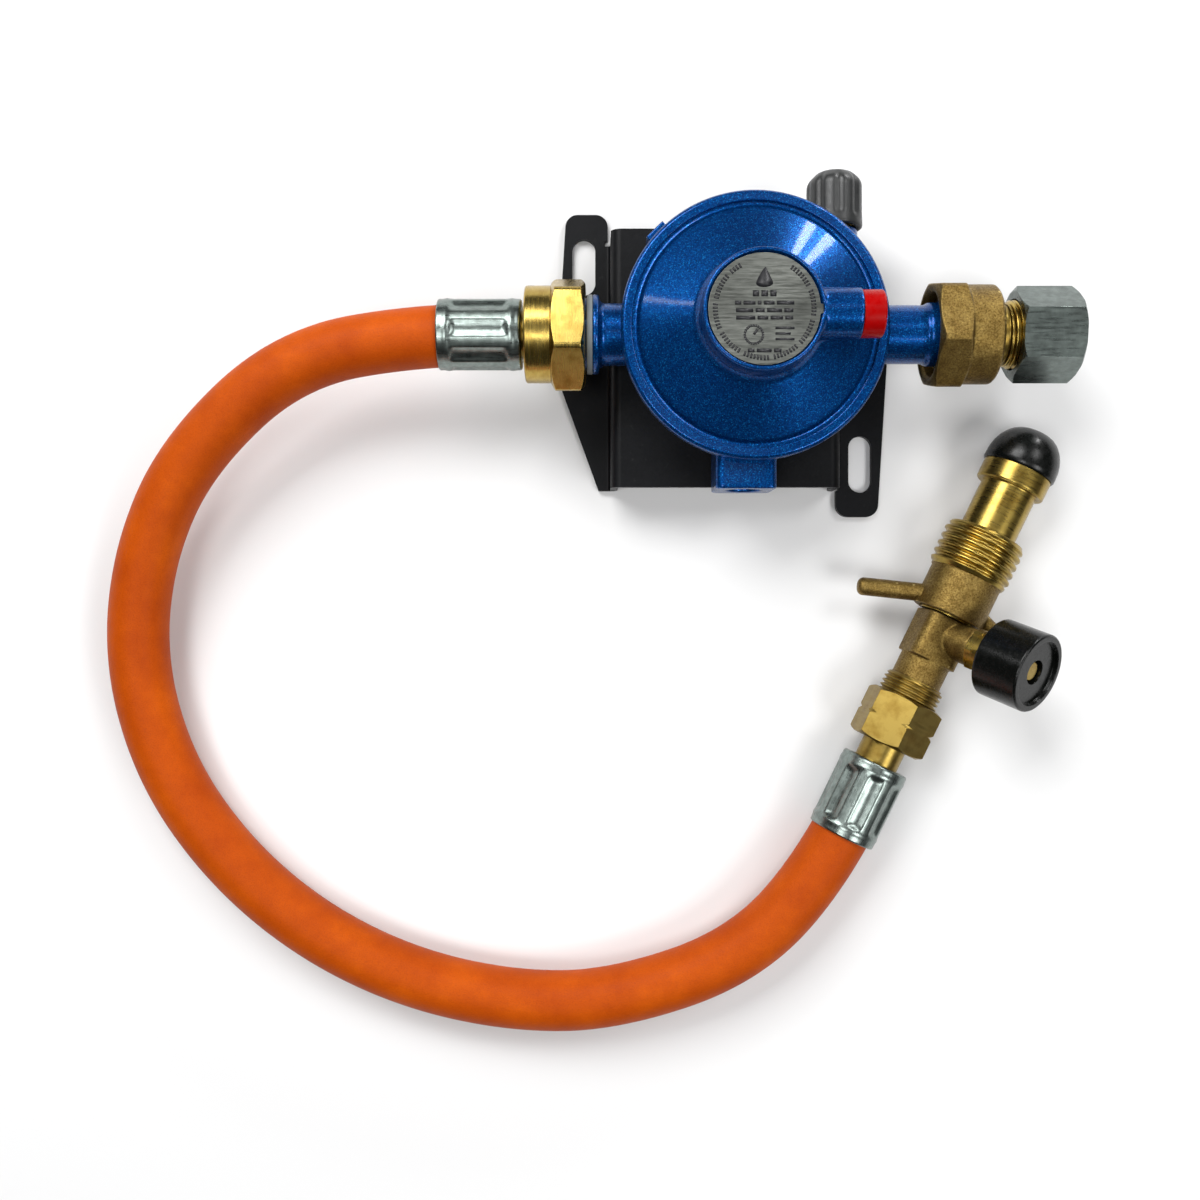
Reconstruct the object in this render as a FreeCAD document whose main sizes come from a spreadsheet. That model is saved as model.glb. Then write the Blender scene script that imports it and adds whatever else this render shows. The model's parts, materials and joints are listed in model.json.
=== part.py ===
"""Caravan LPG regulator on its wall bracket, with a crimped hose and a cylinder connector.

Millimetres, +Z away from the wall.  The origin is the middle of the regulator's outline on the
wall plane.  The gas line runs along X: the hose comes in from -X and the pipe leaves at +X.
Sizes live in the sheet "Dims"; a formula is text in which each word is the alias of a cell.

A turned piece is drawn as half an outline of (radius, station) corners and revolved about its
own Z.  Four frames place the pieces: the regulator's axis, the inlet line (stations grow
towards -X), the outlet line (towards +X) and the connector's axis, with its side port.
"""
import FreeCAD
import Part
import Sketcher

import math
import os
import re

CELLS = {
    "general": {
        "edge_break": 0.4, "loose": 0.3, "snug": 0.05, "past": 1.0, "bore_long": 20.0,
        "tool_wide": 40.0, "tool_tall": 90.0,
    },
    "regulator axis in the part's frame": {
        "axis_x": -1.65, "axis_y": 1.95, "port_z": 26.0,
    },
    "bracket": {
        "bracket_dx": -5.1, "bracket_dy": -3.8, "sheet": 2.0, "plate_top": 14.0,
        "plate_wide": 63.4, "plate_tall": 71.0, "bracket_wide": 93.7, "tab_top": 42.9,
        "tab_inner": 32.4, "tab_round": 3.5, "taper_angle": 3.5, "shear_angle": 20.0,
        "shear_x": 46.85, "shear_y": -3.0, "bend_inside": 1.0, "bend_outside": 3.0,
        "relief": 1.6,
        "slot_x": 39.2, "slot_y": 28.0, "slot_wide": 6.5, "slot_long": 16.0,
        "screw_y": 18.0, "screw_hole_r": 2.8, "screw_r": 2.45, "screw_head_r": 4.6,
        "screw_head": 3.0, "screw_long": 11.0, "screw_drive_flats": 3.4,
        "screw_drive_deep": 1.8,
    },
    "body casting": {
        "bowl_r": 30.5, "bowl_floor_r": 27.5, "bowl_bottom": 15.3, "bowl_bevel_top": 18.3,
        "cavity_r": 28.0, "cavity_floor": 17.6, "flange_r": 33.2, "flange_bottom": 35.4,
        "flange_top": 36.6, "pad_r": 7.0, "screw_boss_r": 4.8, "screw_boss_top": 24.0,
        "drain_x": -1.7, "drain_wide": 16.0, "drain_reach": 41.4, "drain_round": 2.0,
        "drain_hole_r": 4.6, "drain_hole_deep": 7.0,
        "test_x": 22.4, "test_boss_r": 6.0, "test_boss_root": 18.0, "test_boss_reach": 27.5,
        "test_bore_start": 10.0, "lug_reach": 36.4,
        "lug_wide": 6.0, "lug_tall": 7.0, "lug_z": 27.2, "lug_angle": 135.0,
        "guide_near": 12.8, "guide_far": 17.0, "guide_wide": 12.0, "guide_top": 31.0,
    },
    "crimp ring": {
        "ring_r": 34.5, "ring_lip_r": 31.6, "ring_bottom": 34.5, "ring_top": 39.3,
        "ring_wall_r": 33.3, "ring_upper_lip": 38.4, "ring_round": 0.8, "ring_thick": 0.8,
    },
    "cover": {
        "cover_bottom": 37.4, "cover_flange": 38.3, "dome_foot_r": 30.0, "dome_foot": 39.1,
        "dome_r": 29.6, "dome_z": 39.5, "dome_top_r": 16.4, "dome_top": 47.3,
        "boss_r": 15.0, "boss_foot": 49.0, "boss_top": 57.0, "cap_bore_r": 12.6,
        "label_seat_r": 13.9, "label_seat": 55.4, "inner_foot_r": 28.3, "inner_top": 46.7,
        "snout_z": 50.5, "snout_r": 6.4, "snout_start": 12.65, "snout_reach": 24.2,
        "vent_bore_r": 2.6, "vent_web": 8.0, "vent_web_bottom": 41.0, "vent_web_reach": 23.4,
        "label_r": 13.6, "label_thick": 0.8, "label_key": 2.4, "label_key_root": 10.0,
        "label_key_reach": 14.3, "label_key_deep": 5.0,
        "plug_r": 5.85, "plug_reach": 29.8, "plug_stem_start": 19.0, "plug_stem_r": 2.5,
    },
    "diaphragm and spring": {
        "membrane_hole_r": 2.2, "membrane_flat_r": 23.0, "membrane_slope_r": 27.4,
        "membrane_z": 34.5, "membrane_thick": 0.7, "bead_bottom": 36.65, "bead_top": 37.35,
        "disc_r": 21.0, "disc_bottom": 35.3, "disc_thick": 1.0, "disc_lip_top": 37.3,
        "stem_flange_r": 7.0, "stem_flange_bottom": 33.2, "stem_flange_top": 34.4,
        "stem_r": 2.5, "stem_top_r": 2.0, "stem_top": 43.0, "eye_bottom": 18.0,
        "eye_top": 24.0, "eye_long": 4.4, "eye_wide": 10.0, "window_bottom": 18.9,
        "window_top": 22.1, "window_wide": 5.8, "relief_spring_r": 3.7,
        "relief_wire": 0.8, "relief_spring_bottom": 36.8, "relief_spring_top": 40.8,
        "relief_pitch": 1.6, "relief_nut_bottom": 41.3, "relief_nut_thick": 1.7,
        "relief_nut_flats": 8.0, "main_spring_r": 9.5, "main_wire": 1.4,
        "main_pitch": 3.24, "main_spring_bottom": 37.05, "main_spring_top": 45.15,
        "adjuster_r": 12.5, "adjuster_bottom": 46.0, "adjuster_thick": 4.0,
        "adjuster_flats": 8.0,
    },
    "jet, plunger and lever": {
        "pin_x": -8.5, "pin_z": 20.5, "pin_r": 1.5, "post_gap": 7.0, "post_thick": 2.5,
        "post_long": 5.0, "post_top": 23.4, "hub_r": 2.6, "hub_wide": 6.4, "arm_wide": 5.0,
        "arm_thick": 1.4, "nose_r": 1.3, "nose_back": 0.7, "plunger_near": 10.8,
        "plunger_far": 18.2, "plunger_r": 3.5, "pad_far": 19.7, "seat_r": 3.0,
        "pin_head_thick": 0.8, "jet_nose": 21.2, "jet_bore_start": 22.0, "jet_nose_r": 2.2,
        "jet_face": 23.0, "jet_far": 33.0, "jet_r": 4.0,
        "orifice_r": 1.2,
    },
    "drain plug, test nipple and its cap": {
        "drain_plug_long": 5.5, "drain_drive_start": 3.0,
        "nipple_foot": 27.5, "nipple_foot_r": 4.8, "nipple_step": 30.0, "nipple_neck": 30.5,
        "nipple_r": 3.8, "nipple_edge": 38.4, "nipple_end": 38.8,
        "tip_cap_start": 27.9, "tip_cap_bore_r": 5.2, "tip_cap_r": 7.3, "tip_cap_edge": 41.2,
        "tip_cap_top_r": 5.9, "tip_cap_end": 42.8, "tip_cap_inside_end": 39.6,
    },
    "inlet line, stations from the regulator's axis": {
        "inlet_tube_r": 8.15, "inlet_tube_start": 22.5, "inlet_tube_end": 39.9,
        "inlet_collar_r": 10.4, "inlet_collar_end": 41.6, "inlet_thread_r": 9.4,
        "inlet_thread_end": 51.5, "inlet_bore_r": 4.6, "inlet_seal_end": 43.2,
        "filter_r": 4.5, "filter_start": 44.0, "filter_end": 50.5, "filter_wall": 0.8,
        "inlet_nut_start": 43.5, "inlet_hex_end": 52.6, "inlet_nut_end": 59.4,
        "inlet_nut_flats": 27.0, "inlet_nut_corner_r": 15.2, "inlet_nut_face_r": 12.9,
        "inlet_nut_bevel": 1.15, "inlet_collar_nut_r": 12.7,
        "inlet_nut_bore_r": 9.75, "inlet_lip": 55.2, "inlet_lip_r": 6.4,
        "inlet_hex_turn": 38.5, "tail_seat": 51.7, "tail_flange_end": 54.9,
        "tail_flange_r": 9.3, "tail_neck_r": 6.1, "tail_neck_end": 69.5, "tail_end": 81.0,
        "barb_r": 3.1, "tail_bore_r": 2.2,
    },
    "hose and ferrules": {
        "hose_od": 16.3, "hose_bore": 6.3, "ferrule_r": 9.3, "ferrule_long": 22.0,
        "ferrule_wall": 1.05, "ferrule_cap": 1.2, "ferrule_start": 60.3,
        "ferrule_neck_r": 6.15,
    },
    "outlet line, stations from the regulator's axis": {
        "outlet_tube_r": 7.7, "outlet_tube_start": 24.0, "outlet_tube_end": 46.0,
        "outlet_collar_r": 8.35, "outlet_collar_end": 50.0, "outlet_thread_r": 10.6,
        "outlet_end": 57.6, "outlet_bore_r": 5.0, "gasket_r": 9.6, "gasket_end": 59.1,
        "union_start": 47.3, "union_hex_end": 55.9, "union_end": 64.3, "union_flats": 26.5,
        "union_corner_r": 14.9, "union_face_r": 12.85, "union_bevel": 1.0,
        "union_drum_start": 53.9, "union_round_r": 13.0, "union_bore_r": 11.0,
        "union_lip": 61.2, "union_lip_r": 9.35, "union_hex_turn": 13.0,
        "out_flange_r": 10.5, "out_flange_end": 60.9, "out_neck_r": 7.3,
        "out_thread_start": 67.1, "out_thread_r": 9.0, "out_thread_end": 80.0,
        "out_passage_r": 4.5, "pipe_r": 6.05, "pipe_stop": 71.0, "mouth_start": 76.2,
        "mouth_r": 7.75, "nut_start": 69.4, "nut_end": 85.6, "nut_flats": 22.0,
        "nut_corner_r": 12.69, "nut_face_r": 11.3, "nut_cone_end": 70.3, "nut_back_r": 11.2,
        "nut_back_bevel": 0.9, "nut_bore_r": 9.35,
        "nut_seat_start": 81.6, "nut_seat_end": 84.0, "nut_seat_r": 6.7,
        "nut_hex_turn": 38.0, "cutter_start": 76.8, "cutter_end": 82.4, "cutter_r": 8.1,
        "cutter_thin_r": 6.25, "cutter_shoulder": 80.3, "cutter_land": 0.8,
        "cutter_shoulder_r": 7.3,
    },
    "connector line, stations from the hose side of its ferrule": {
        "connector_x": 25.25, "connector_y": -133.05, "connector_z": 11.5,
        "connector_angle": 64.0, "c_cap_start": 20.8, "c_ferrule_end": 22.0,
        "c_neck_start": 13.4, "c_barb_start": 1.0, "c_nut_start": 27.5, "c_nut_end": 41.5,
        "c_nut_flats": 19.0, "c_nut_corner_r": 10.97, "c_nut_face_r": 9.1,
        "c_nut_bevel": 0.95, "c_nut_bore_r": 8.68, "c_lip": 30.6,
        "c_hex_turn": 34.4, "c_flange_start": 30.9, "c_flange_end": 33.4,
        "c_flange_r": 8.2, "c_flange_bevel": 1.0, "c_thread_start": 33.7, "c_thread_end": 47.0,
        "c_thread_r": 8.33, "valve_neck_r": 6.9, "valve_block_start": 53.5,
        "valve_block_end": 66.2, "valve_wide": 13.8, "valve_round": 3.0, "valve_turn": 8.0,
        "valve_bore_r": 2.5, "chamber_start": 49.5, "chamber_cone": 0.8, "chamber_r": 4.6,
        "shank_start": 57.8,
        "shank_r": 5.0, "spigot_start": 66.5, "spigot_r": 7.7, "spigot_end": 106.0,
        "shoulder_end": 111.6, "shoulder_r": 9.5, "spigot_bore_r": 3.0,
        "nose_barb_r": 5.5, "nose_barb_end": 118.0, "nose_base_r": 10.1, "nose_base_end": 113.2,
        "nose_low": 116.2, "nose_low_r": 9.6, "nose_mid": 119.6, "nose_mid_r": 8.2,
        "nose_high": 122.2, "nose_high_r": 6.2, "nose_end": 123.2, "nose_tip_r": 4.4,
        "pol_start": 67.0, "pol_plain_end": 79.0, "pol_plain_r": 9.9,
        "pol_end": 92.0, "pol_thread_r": 11.17, "pol_bore_r": 8.0, "wing_root": 71.5,
        "wing_r": 2.5, "wing_long": 22.7, "wing_sweep": 20.0, "wing_tip_round": 1.6,
        "poppet_start": 52.5, "poppet_cone": 54.1, "poppet_land": 55.1, "poppet_end": 57.0,
        "poppet_r": 4.2, "poppet_nose_r": 2.2, "flow_spring_start": 50.45,
        "flow_spring_end": 54.25, "flow_spring_r": 3.5, "flow_wire": 0.6, "flow_pitch": 0.8444,
    },
    "side port, stations from the connector's axis": {
        "side_station": 61.5, "side_angle": 45.0, "side_neck_r": 5.2, "side_neck_end": 12.2,
        "side_socket_start": 8.0, "side_socket_r": 3.9, "side_bore_r": 2.4,
        "bonnet_hex_end": 14.4, "bonnet_flats": 10.4, "bonnet_r": 5.6, "bonnet_end": 19.5,
        "bonnet_chamber": 16.5, "bonnet_chamber_r": 4.2, "push_stem_r": 2.0,
        "push_stem_start": 8.8, "push_stem_end": 27.6, "knob_start": 18.3,
        "knob_end": 31.6, "knob_r": 10.7, "knob_hollow_r": 6.5, "knob_hollow_end": 24.3,
        "knob_web_end": 28.2, "knob_face_r": 8.8, "knob_face": 30.4, "knob_hole_r": 3.3,
        "knob_screw_r": 2.8, "knob_screw_end": 29.6, "knob_screw_shank_r": 1.2,
        "knob_screw_shank": 22.5, "push_spring_start": 16.9,
        "push_spring_end": 23.85, "push_spring_r": 3.3, "push_wire": 0.7, "push_pitch": 1.39,
    },
}

# The hose's route, as the corners of its centreline, from inside the inlet ferrule to inside
# the connector's ferrule.  It leaves level, comes down to the ground and lies in an open loop.
HOSE_ROUTE = [
    (-69.65, 1.95, 26.0), (-110.24, 1.95, 26.0), (-146.48, -16.98, 21.0),
    (-169.84, -50.54, 15.0), (-175.09, -91.09, 10.5), (-160.48, -131.34, 8.5),
    (-128.42, -159.73, 8.3), (-98.98, -177.77, 8.4), (-53.82, -188.23, 8.3),
    (-13.6, -177.67, 8.7), (14.87, -154.32, 11.5), (30.95, -121.37, 11.5),
]
ARC_SHARE = 0.45

doc = FreeCAD.newDocument("regulator_hose")
sheet = doc.addObject("Spreadsheet::Sheet", "Dims")
SIZES = {}
subparts = []


def fill_sheet():
    """One row per size: its name in column A and its number, with that alias, in column B."""
    row = 1
    for group, cells in CELLS.items():
        sheet.set(f"A{row}", group)
        row += 1
        for alias, number in cells.items():
            sheet.set(f"A{row}", alias)
            sheet.set(f"B{row}", str(number))
            sheet.setAlias(f"B{row}", alias)
            SIZES[alias] = number
            row += 1
    doc.recompute()


def formula(text):
    """The expression that a formula stands for: each alias in it is looked up in the sheet."""
    return re.sub(r"[a-z]\w*", lambda word: "Dims." + word[0] if word[0] in SIZES else word[0],
                  str(text))


def bind(thing, **sizes):
    for name, text in sizes.items():
        thing.setExpression(name, formula(text))
    return thing


def put(thing, x="0", y="0", z="0"):
    for way, text in (("x", x), ("y", y), ("z", z)):
        thing.setExpression("Placement.Base." + way, formula(text))
    return thing


def keep(label, thing, placement=None):
    """Name a finished sub-part, put it in its frame, and list it for export."""
    thing.Label = label
    if placement is not None:
        thing.Placement = placement
    subparts.append(thing)
    return thing


# ---------------------------------------------------------------- building blocks

def add(kind, name):
    return doc.addObject(kind, name)


def cylinder(name, radius, height, x="0", y="0", z="0", turn=None):
    rod = add("Part::Cylinder", name)
    if turn is not None:
        rod.Placement = FreeCAD.Placement(FreeCAD.Vector(), turn)
    return put(bind(rod, Radius=radius, Height=height), x, y, z)


def block(name, length, width, height, x="0", y="0", z="0", turn=None):
    """A box whose low corner is at x, y, z."""
    box = add("Part::Box", name)
    if turn is not None:
        box.Placement = FreeCAD.Placement(FreeCAD.Vector(), turn)
    return put(bind(box, Length=length, Width=width, Height=height), x, y, z)


def fuse(name, *things):
    joined = add("Part::MultiFuse", name)
    joined.Shapes = list(things)
    joined.Refine = True
    return joined


def cut(name, solid, *tools):
    less = add("Part::Cut", name)
    less.Base = solid
    less.Tool = tools[0] if len(tools) == 1 else fuse(name + "_tools", *tools)
    less.Refine = True
    return less


def common(name, first, second):
    both = add("Part::Common", name)
    both.Base = first
    both.Tool = second
    return both


def turned(name, outline):
    """A body revolved about Z from a closed outline of (radius, station) formulas."""
    body = add("PartDesign::Body", name)
    sketch = body.newObject("Sketcher::SketchObject", name + "_outline")
    plane = [f for f in body.Origin.OriginFeatures if f.Role == "XZ_Plane"][0]
    sketch.AttachmentSupport = (plane, [""])
    sketch.MapMode = "FlatFace"
    corners = [FreeCAD.Vector(worth(r), worth(z), 0) for r, z in outline]
    count = len(corners)
    for i in range(count):
        sketch.addGeometry(Part.LineSegment(corners[i], corners[(i + 1) % count]), False)
    for i in range(count):
        after = (i + 1) % count
        sketch.addConstraint(Sketcher.Constraint("Coincident", i, 2, after, 1))
    for i, (radius, station) in enumerate(outline):
        place_corner(sketch, i, "X", radius)
        place_corner(sketch, i, "Y", station)
    turn = body.newObject("PartDesign::Revolution", name + "_turned")
    turn.Profile = sketch
    turn.ReferenceAxis = (sketch, ["V_Axis"])
    turn.Angle = 360
    return body


def place_corner(sketch, corner, way, text):
    """Hold one coordinate of a sketch's corner at a formula, or on the axis if it is zero."""
    if abs(worth(text)) < 1e-9:
        axis = -2 if way == "X" else -1
        sketch.addConstraint(Sketcher.Constraint("PointOnObject", corner, 1, axis))
        return
    held = sketch.addConstraint(
        Sketcher.Constraint("Distance" + way, -1, 1, corner, 1, worth(text)))
    sketch.setExpression(f"Constraints[{held}]", formula(text))


def worth(text):
    """The number that a formula comes to: sums, products and quotients of sizes, left to right."""
    total, sign = 0.0, 1.0
    for token in re.findall(r"[+-]|[^+-]+", str(text).replace(" ", "")):
        if token in "+-":
            sign = -sign if token == "-" else sign
            continue
        product = 1.0
        for how, factor in re.findall(r"([*/]?)([\w.]+)", token):
            number = SIZES[factor] if factor in SIZES else float(factor)
            product = product / number if how == "/" else product * number
        total += sign * product
        sign = 1.0
    return total


def hexagon(name, flats, start, end, turn_angle="0"):
    """A hexagonal prism along Z, given across its flats."""
    prism = add("Part::Prism", name)
    prism.Polygon = 6
    bind(prism, Circumradius=f"{flats} / 1.7320508", Height=f"{end} - ({start})")
    put(prism, z=start)
    prism.setExpression("Placement.Rotation.Angle", formula(turn_angle))
    return prism


def hex_blank(name, flats, start, end, corner_r, face_r, bevel, turn_angle="0"):
    """A hexagon whose corners are turned down to face_r, over the bevel's length, at its ends."""
    limits = turned(name + "_limits", [
        ("0", start), (face_r, start), (corner_r, f"{start} + {bevel}"),
        (corner_r, f"{end} - {bevel}"), (face_r, end), ("0", end)])
    return common(name, hexagon(name + "_prism", flats, start, end, turn_angle), limits)


def spring(label, mean_r, wire, pitch, start, end, placement):
    """A round-wire coil along Z, between two stations of its wire's centre."""
    coil = Part.makeHelix(SIZES[pitch], SIZES[end] - SIZES[start], SIZES[mean_r])
    section = Part.Wire(Part.Circle(FreeCAD.Vector(SIZES[mean_r], 0, 0),
                                    FreeCAD.Vector(0, 1, 0), SIZES[wire] / 2).toShape())
    thing = add("Part::Feature", label)
    thing.Shape = Part.Wire(coil).makePipeShell([section], True, True)
    lifted = FreeCAD.Placement(FreeCAD.Vector(0, 0, SIZES[start]), FreeCAD.Rotation())
    return keep(label, thing, placement.multiply(lifted))


def rounded(name, solid, radius, picked):
    """Round the edges of a shape that the picked test chooses."""
    doc.recompute()
    chosen = [i + 1 for i, edge in enumerate(solid.Shape.Edges) if picked(edge)]
    fillet = add("Part::Fillet", name)
    fillet.Base = solid
    fillet.Edges = [(i, SIZES[radius], SIZES[radius]) for i in chosen]
    return fillet


def runs_along(edge, way, at_least):
    """Is this a straight edge along the X, Y or Z way and at least that long?"""
    if not isinstance(edge.Curve, Part.Line) or edge.Length < at_least:
        return False
    return abs(edge.Curve.Direction.dot(way)) > 0.999


X = FreeCAD.Vector(1, 0, 0)
Y = FreeCAD.Vector(0, 1, 0)
Z = FreeCAD.Vector(0, 0, 1)
ALONG_X = FreeCAD.Rotation(Z, X)
ALONG_BACK_X = FreeCAD.Rotation(Z, -X)
ALONG_Y = FreeCAD.Rotation(Z, Y)
ALONG_BACK_Y = FreeCAD.Rotation(Z, -Y)
fill_sheet()


def regulator_frame(z=0.0, turn=FreeCAD.Rotation()):
    return FreeCAD.Placement(FreeCAD.Vector(SIZES["axis_x"], SIZES["axis_y"], z), turn)


def bracket_frame():
    base = FreeCAD.Vector(SIZES["axis_x"] + SIZES["bracket_dx"],
                          SIZES["axis_y"] + SIZES["bracket_dy"], 0)
    return FreeCAD.Placement(base, FreeCAD.Rotation())


def inlet_frame():
    return regulator_frame(SIZES["port_z"], ALONG_BACK_X)


def outlet_frame():
    return regulator_frame(SIZES["port_z"], ALONG_X)


def connector_frame():
    """Z along the connector, X level and to the side of its port, Y towards the ground."""
    angle = math.radians(SIZES["connector_angle"])
    along = FreeCAD.Vector(math.cos(angle), math.sin(angle), 0)
    aside = FreeCAD.Vector(math.sin(angle), -math.cos(angle), 0)
    base = FreeCAD.Vector(SIZES["connector_x"], SIZES["connector_y"], SIZES["connector_z"])
    return FreeCAD.Placement(base, FreeCAD.Rotation(aside, -Z, along, "ZXY"))


def side_turn():
    """In the connector's frame: Z out along the side port, raised by its angle."""
    angle = math.radians(SIZES["side_angle"])
    return FreeCAD.Rotation(Z, FreeCAD.Vector(math.cos(angle), -math.sin(angle), 0))


def side_frame():
    within = FreeCAD.Placement(FreeCAD.Vector(0, 0, SIZES["side_station"]), side_turn())
    return connector_frame().multiply(within)


# ---------------------------------------------------------------- bracket

def mounting_bracket():
    """A folded hat section: a raised plate, two walls, and two flanges on the wall."""
    half_wide = "plate_wide / 2"
    parts = [block("plate", "plate_wide", "plate_tall", "sheet", f"0 - {half_wide}",
                   "0 - plate_tall / 2", "plate_top - sheet")]
    for side, turn in (("left", None), ("right", FreeCAD.Rotation(Z, 180))):
        sign = "0 - " if side == "left" else ""
        parts.append(block(f"{side}_wall", "sheet", "plate_tall", "plate_top",
                           f"{sign}plate_wide / 2", f"{sign or '0 + '}plate_tall / 2", "0",
                           turn))
        parts.append(block(f"{side}_flange", "bracket_wide / 2 - plate_wide / 2 + sheet",
                           "plate_tall", "sheet", f"{sign}bracket_wide / 2",
                           f"{sign or '0 + '}plate_tall / 2", "0", turn))
    hat = fuse("hat", *parts)
    half, sheet_t = SIZES["plate_wide"] / 2, SIZES["sheet"]
    top = SIZES["plate_top"]

    def at_bend(edge, x, z):
        if not runs_along(edge, Y, SIZES["plate_tall"] / 2):
            return False
        middle = edge.CenterOfMass
        return abs(abs(middle.x) - x) < 0.01 and abs(middle.z - z) < 0.01

    hat = rounded("hat_outer_bends", hat, "bend_outside",
                  lambda edge: at_bend(edge, half, top) or at_bend(edge, half - sheet_t, 0))
    hat = rounded("hat_inner_bends", hat, "bend_inside",
                  lambda edge: at_bend(edge, half - sheet_t, top - sheet_t)
                  or at_bend(edge, half, sheet_t))
    tabs, tools = [], []
    for side, angle in (("left", 0), ("right", 180)):
        turn = FreeCAD.Rotation(Z, angle)
        tab = block(f"{side}_tab", "bracket_wide / 2 - tab_inner", "tab_top - slot_y", "sheet",
                    "0 - bracket_wide / 2", "slot_y", "0")
        shear = block(f"{side}_shear", "tool_wide", "tool_tall", "plate_top * 4",
                      "0 - shear_x - tool_wide", "0 - tool_tall", "0 - plate_top")
        taper = block(f"{side}_taper", "tool_wide", "tool_tall", "plate_top * 4",
                      "0 - shear_x - tool_wide", "0", "0 - plate_top")
        slot_parts = [block(f"{side}_slot_middle", "slot_wide", "slot_long - slot_wide",
                            "sheet * 3", "0 - slot_x - slot_wide / 2",
                            "slot_y - slot_long / 2 + slot_wide / 2", "0 - sheet")]
        for end, sign in (("low", "-"), ("high", "+")):
            slot_parts.append(cylinder(
                f"{side}_slot_{end}", "slot_wide / 2", "sheet * 3", "0 - slot_x",
                f"slot_y {sign} slot_long / 2 {'+' if sign == '-' else '-'} slot_wide / 2",
                "0 - sheet"))
        gap = block(f"{side}_relief", "relief", "relief", "plate_top * 2",
                    "0 - tab_inner - relief / 2", "plate_tall / 2 - relief",
                    "0 - sheet")
        tabs.append(turn_about_middle(tab, turn))
        tools += [turn_about_middle(piece, turn) for piece in slot_parts + [gap]]
        pivot = FreeCAD.Vector(-SIZES["shear_x"], 0, 0)
        tools.append(swing(taper, pivot, -SIZES["taper_angle"], turn, 0.0))
        tools.append(swing(shear, pivot, SIZES["shear_angle"], turn, SIZES["shear_y"]))
    for name, sign in (("upper", "+"), ("lower", "-")):
        tools.append(cylinder(f"{name}_screw_hole", "screw_hole_r", "plate_top * 2",
                              "0 - bracket_dx", f"0 - bracket_dy {sign} screw_y", "0"))
    raw = cut("bracket_cut", fuse("bracket_sheet", hat, *tabs), *tools)

    def outer_corner(edge):
        if not runs_along(edge, Z, SIZES["sheet"] - 0.1) or edge.Length > SIZES["sheet"] + 0.1:
            return False
        middle = edge.CenterOfMass
        return abs(middle.y) > SIZES["tab_top"] - 0.5

    bracket = rounded("bracket_corners", raw, "tab_round", outer_corner)
    return keep("mounting_bracket", bracket, bracket_frame())


def turn_about_middle(thing, turn):
    """Turn a piece about the bracket's middle, by wrapping it in a one-piece union."""
    wrapped = add("Part::Compound", thing.Name + "_turned")
    wrapped.Links = [thing]
    wrapped.Placement = FreeCAD.Placement(FreeCAD.Vector(), turn)
    return wrapped


def swing(tool, pivot, angle, turn, lift):
    """Swing a cutting block about a corner of the flange, then put it on its side."""
    inner = add("Part::Compound", tool.Name + "_swung")
    inner.Links = [tool]
    inner.Placement = FreeCAD.Placement(
        FreeCAD.Vector(0, lift, 0), FreeCAD.Rotation(Z, angle), pivot)
    return turn_about_middle(inner, turn)


def bracket_screws():
    """Two pan-head screws from under the plate into the body's bosses."""
    screws = []
    for name, sign in (("upper", "+"), ("lower", "-")):
        y = f"0 {sign} screw_y"
        head = cylinder(f"{name}_head", "screw_head_r", "screw_head", "0", y,
                        "plate_top - sheet - screw_head")
        shank = cylinder(f"{name}_shank", "screw_r", "screw_long", "0", y,
                         "plate_top - sheet - edge_break")
        drive = hexagon(f"{name}_drive", "screw_drive_flats", "0", "screw_drive_deep")
        put(drive, "0", y, "plate_top - sheet - screw_head - snug")
        screws.append(cut(f"{name}_screw", fuse(f"{name}_blank", head, shank), drive))
    pair = add("Part::Compound", "screw_pair")
    pair.Links = screws
    return keep("bracket_screws", pair, regulator_frame())


# ---------------------------------------------------------------- regulator

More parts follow.
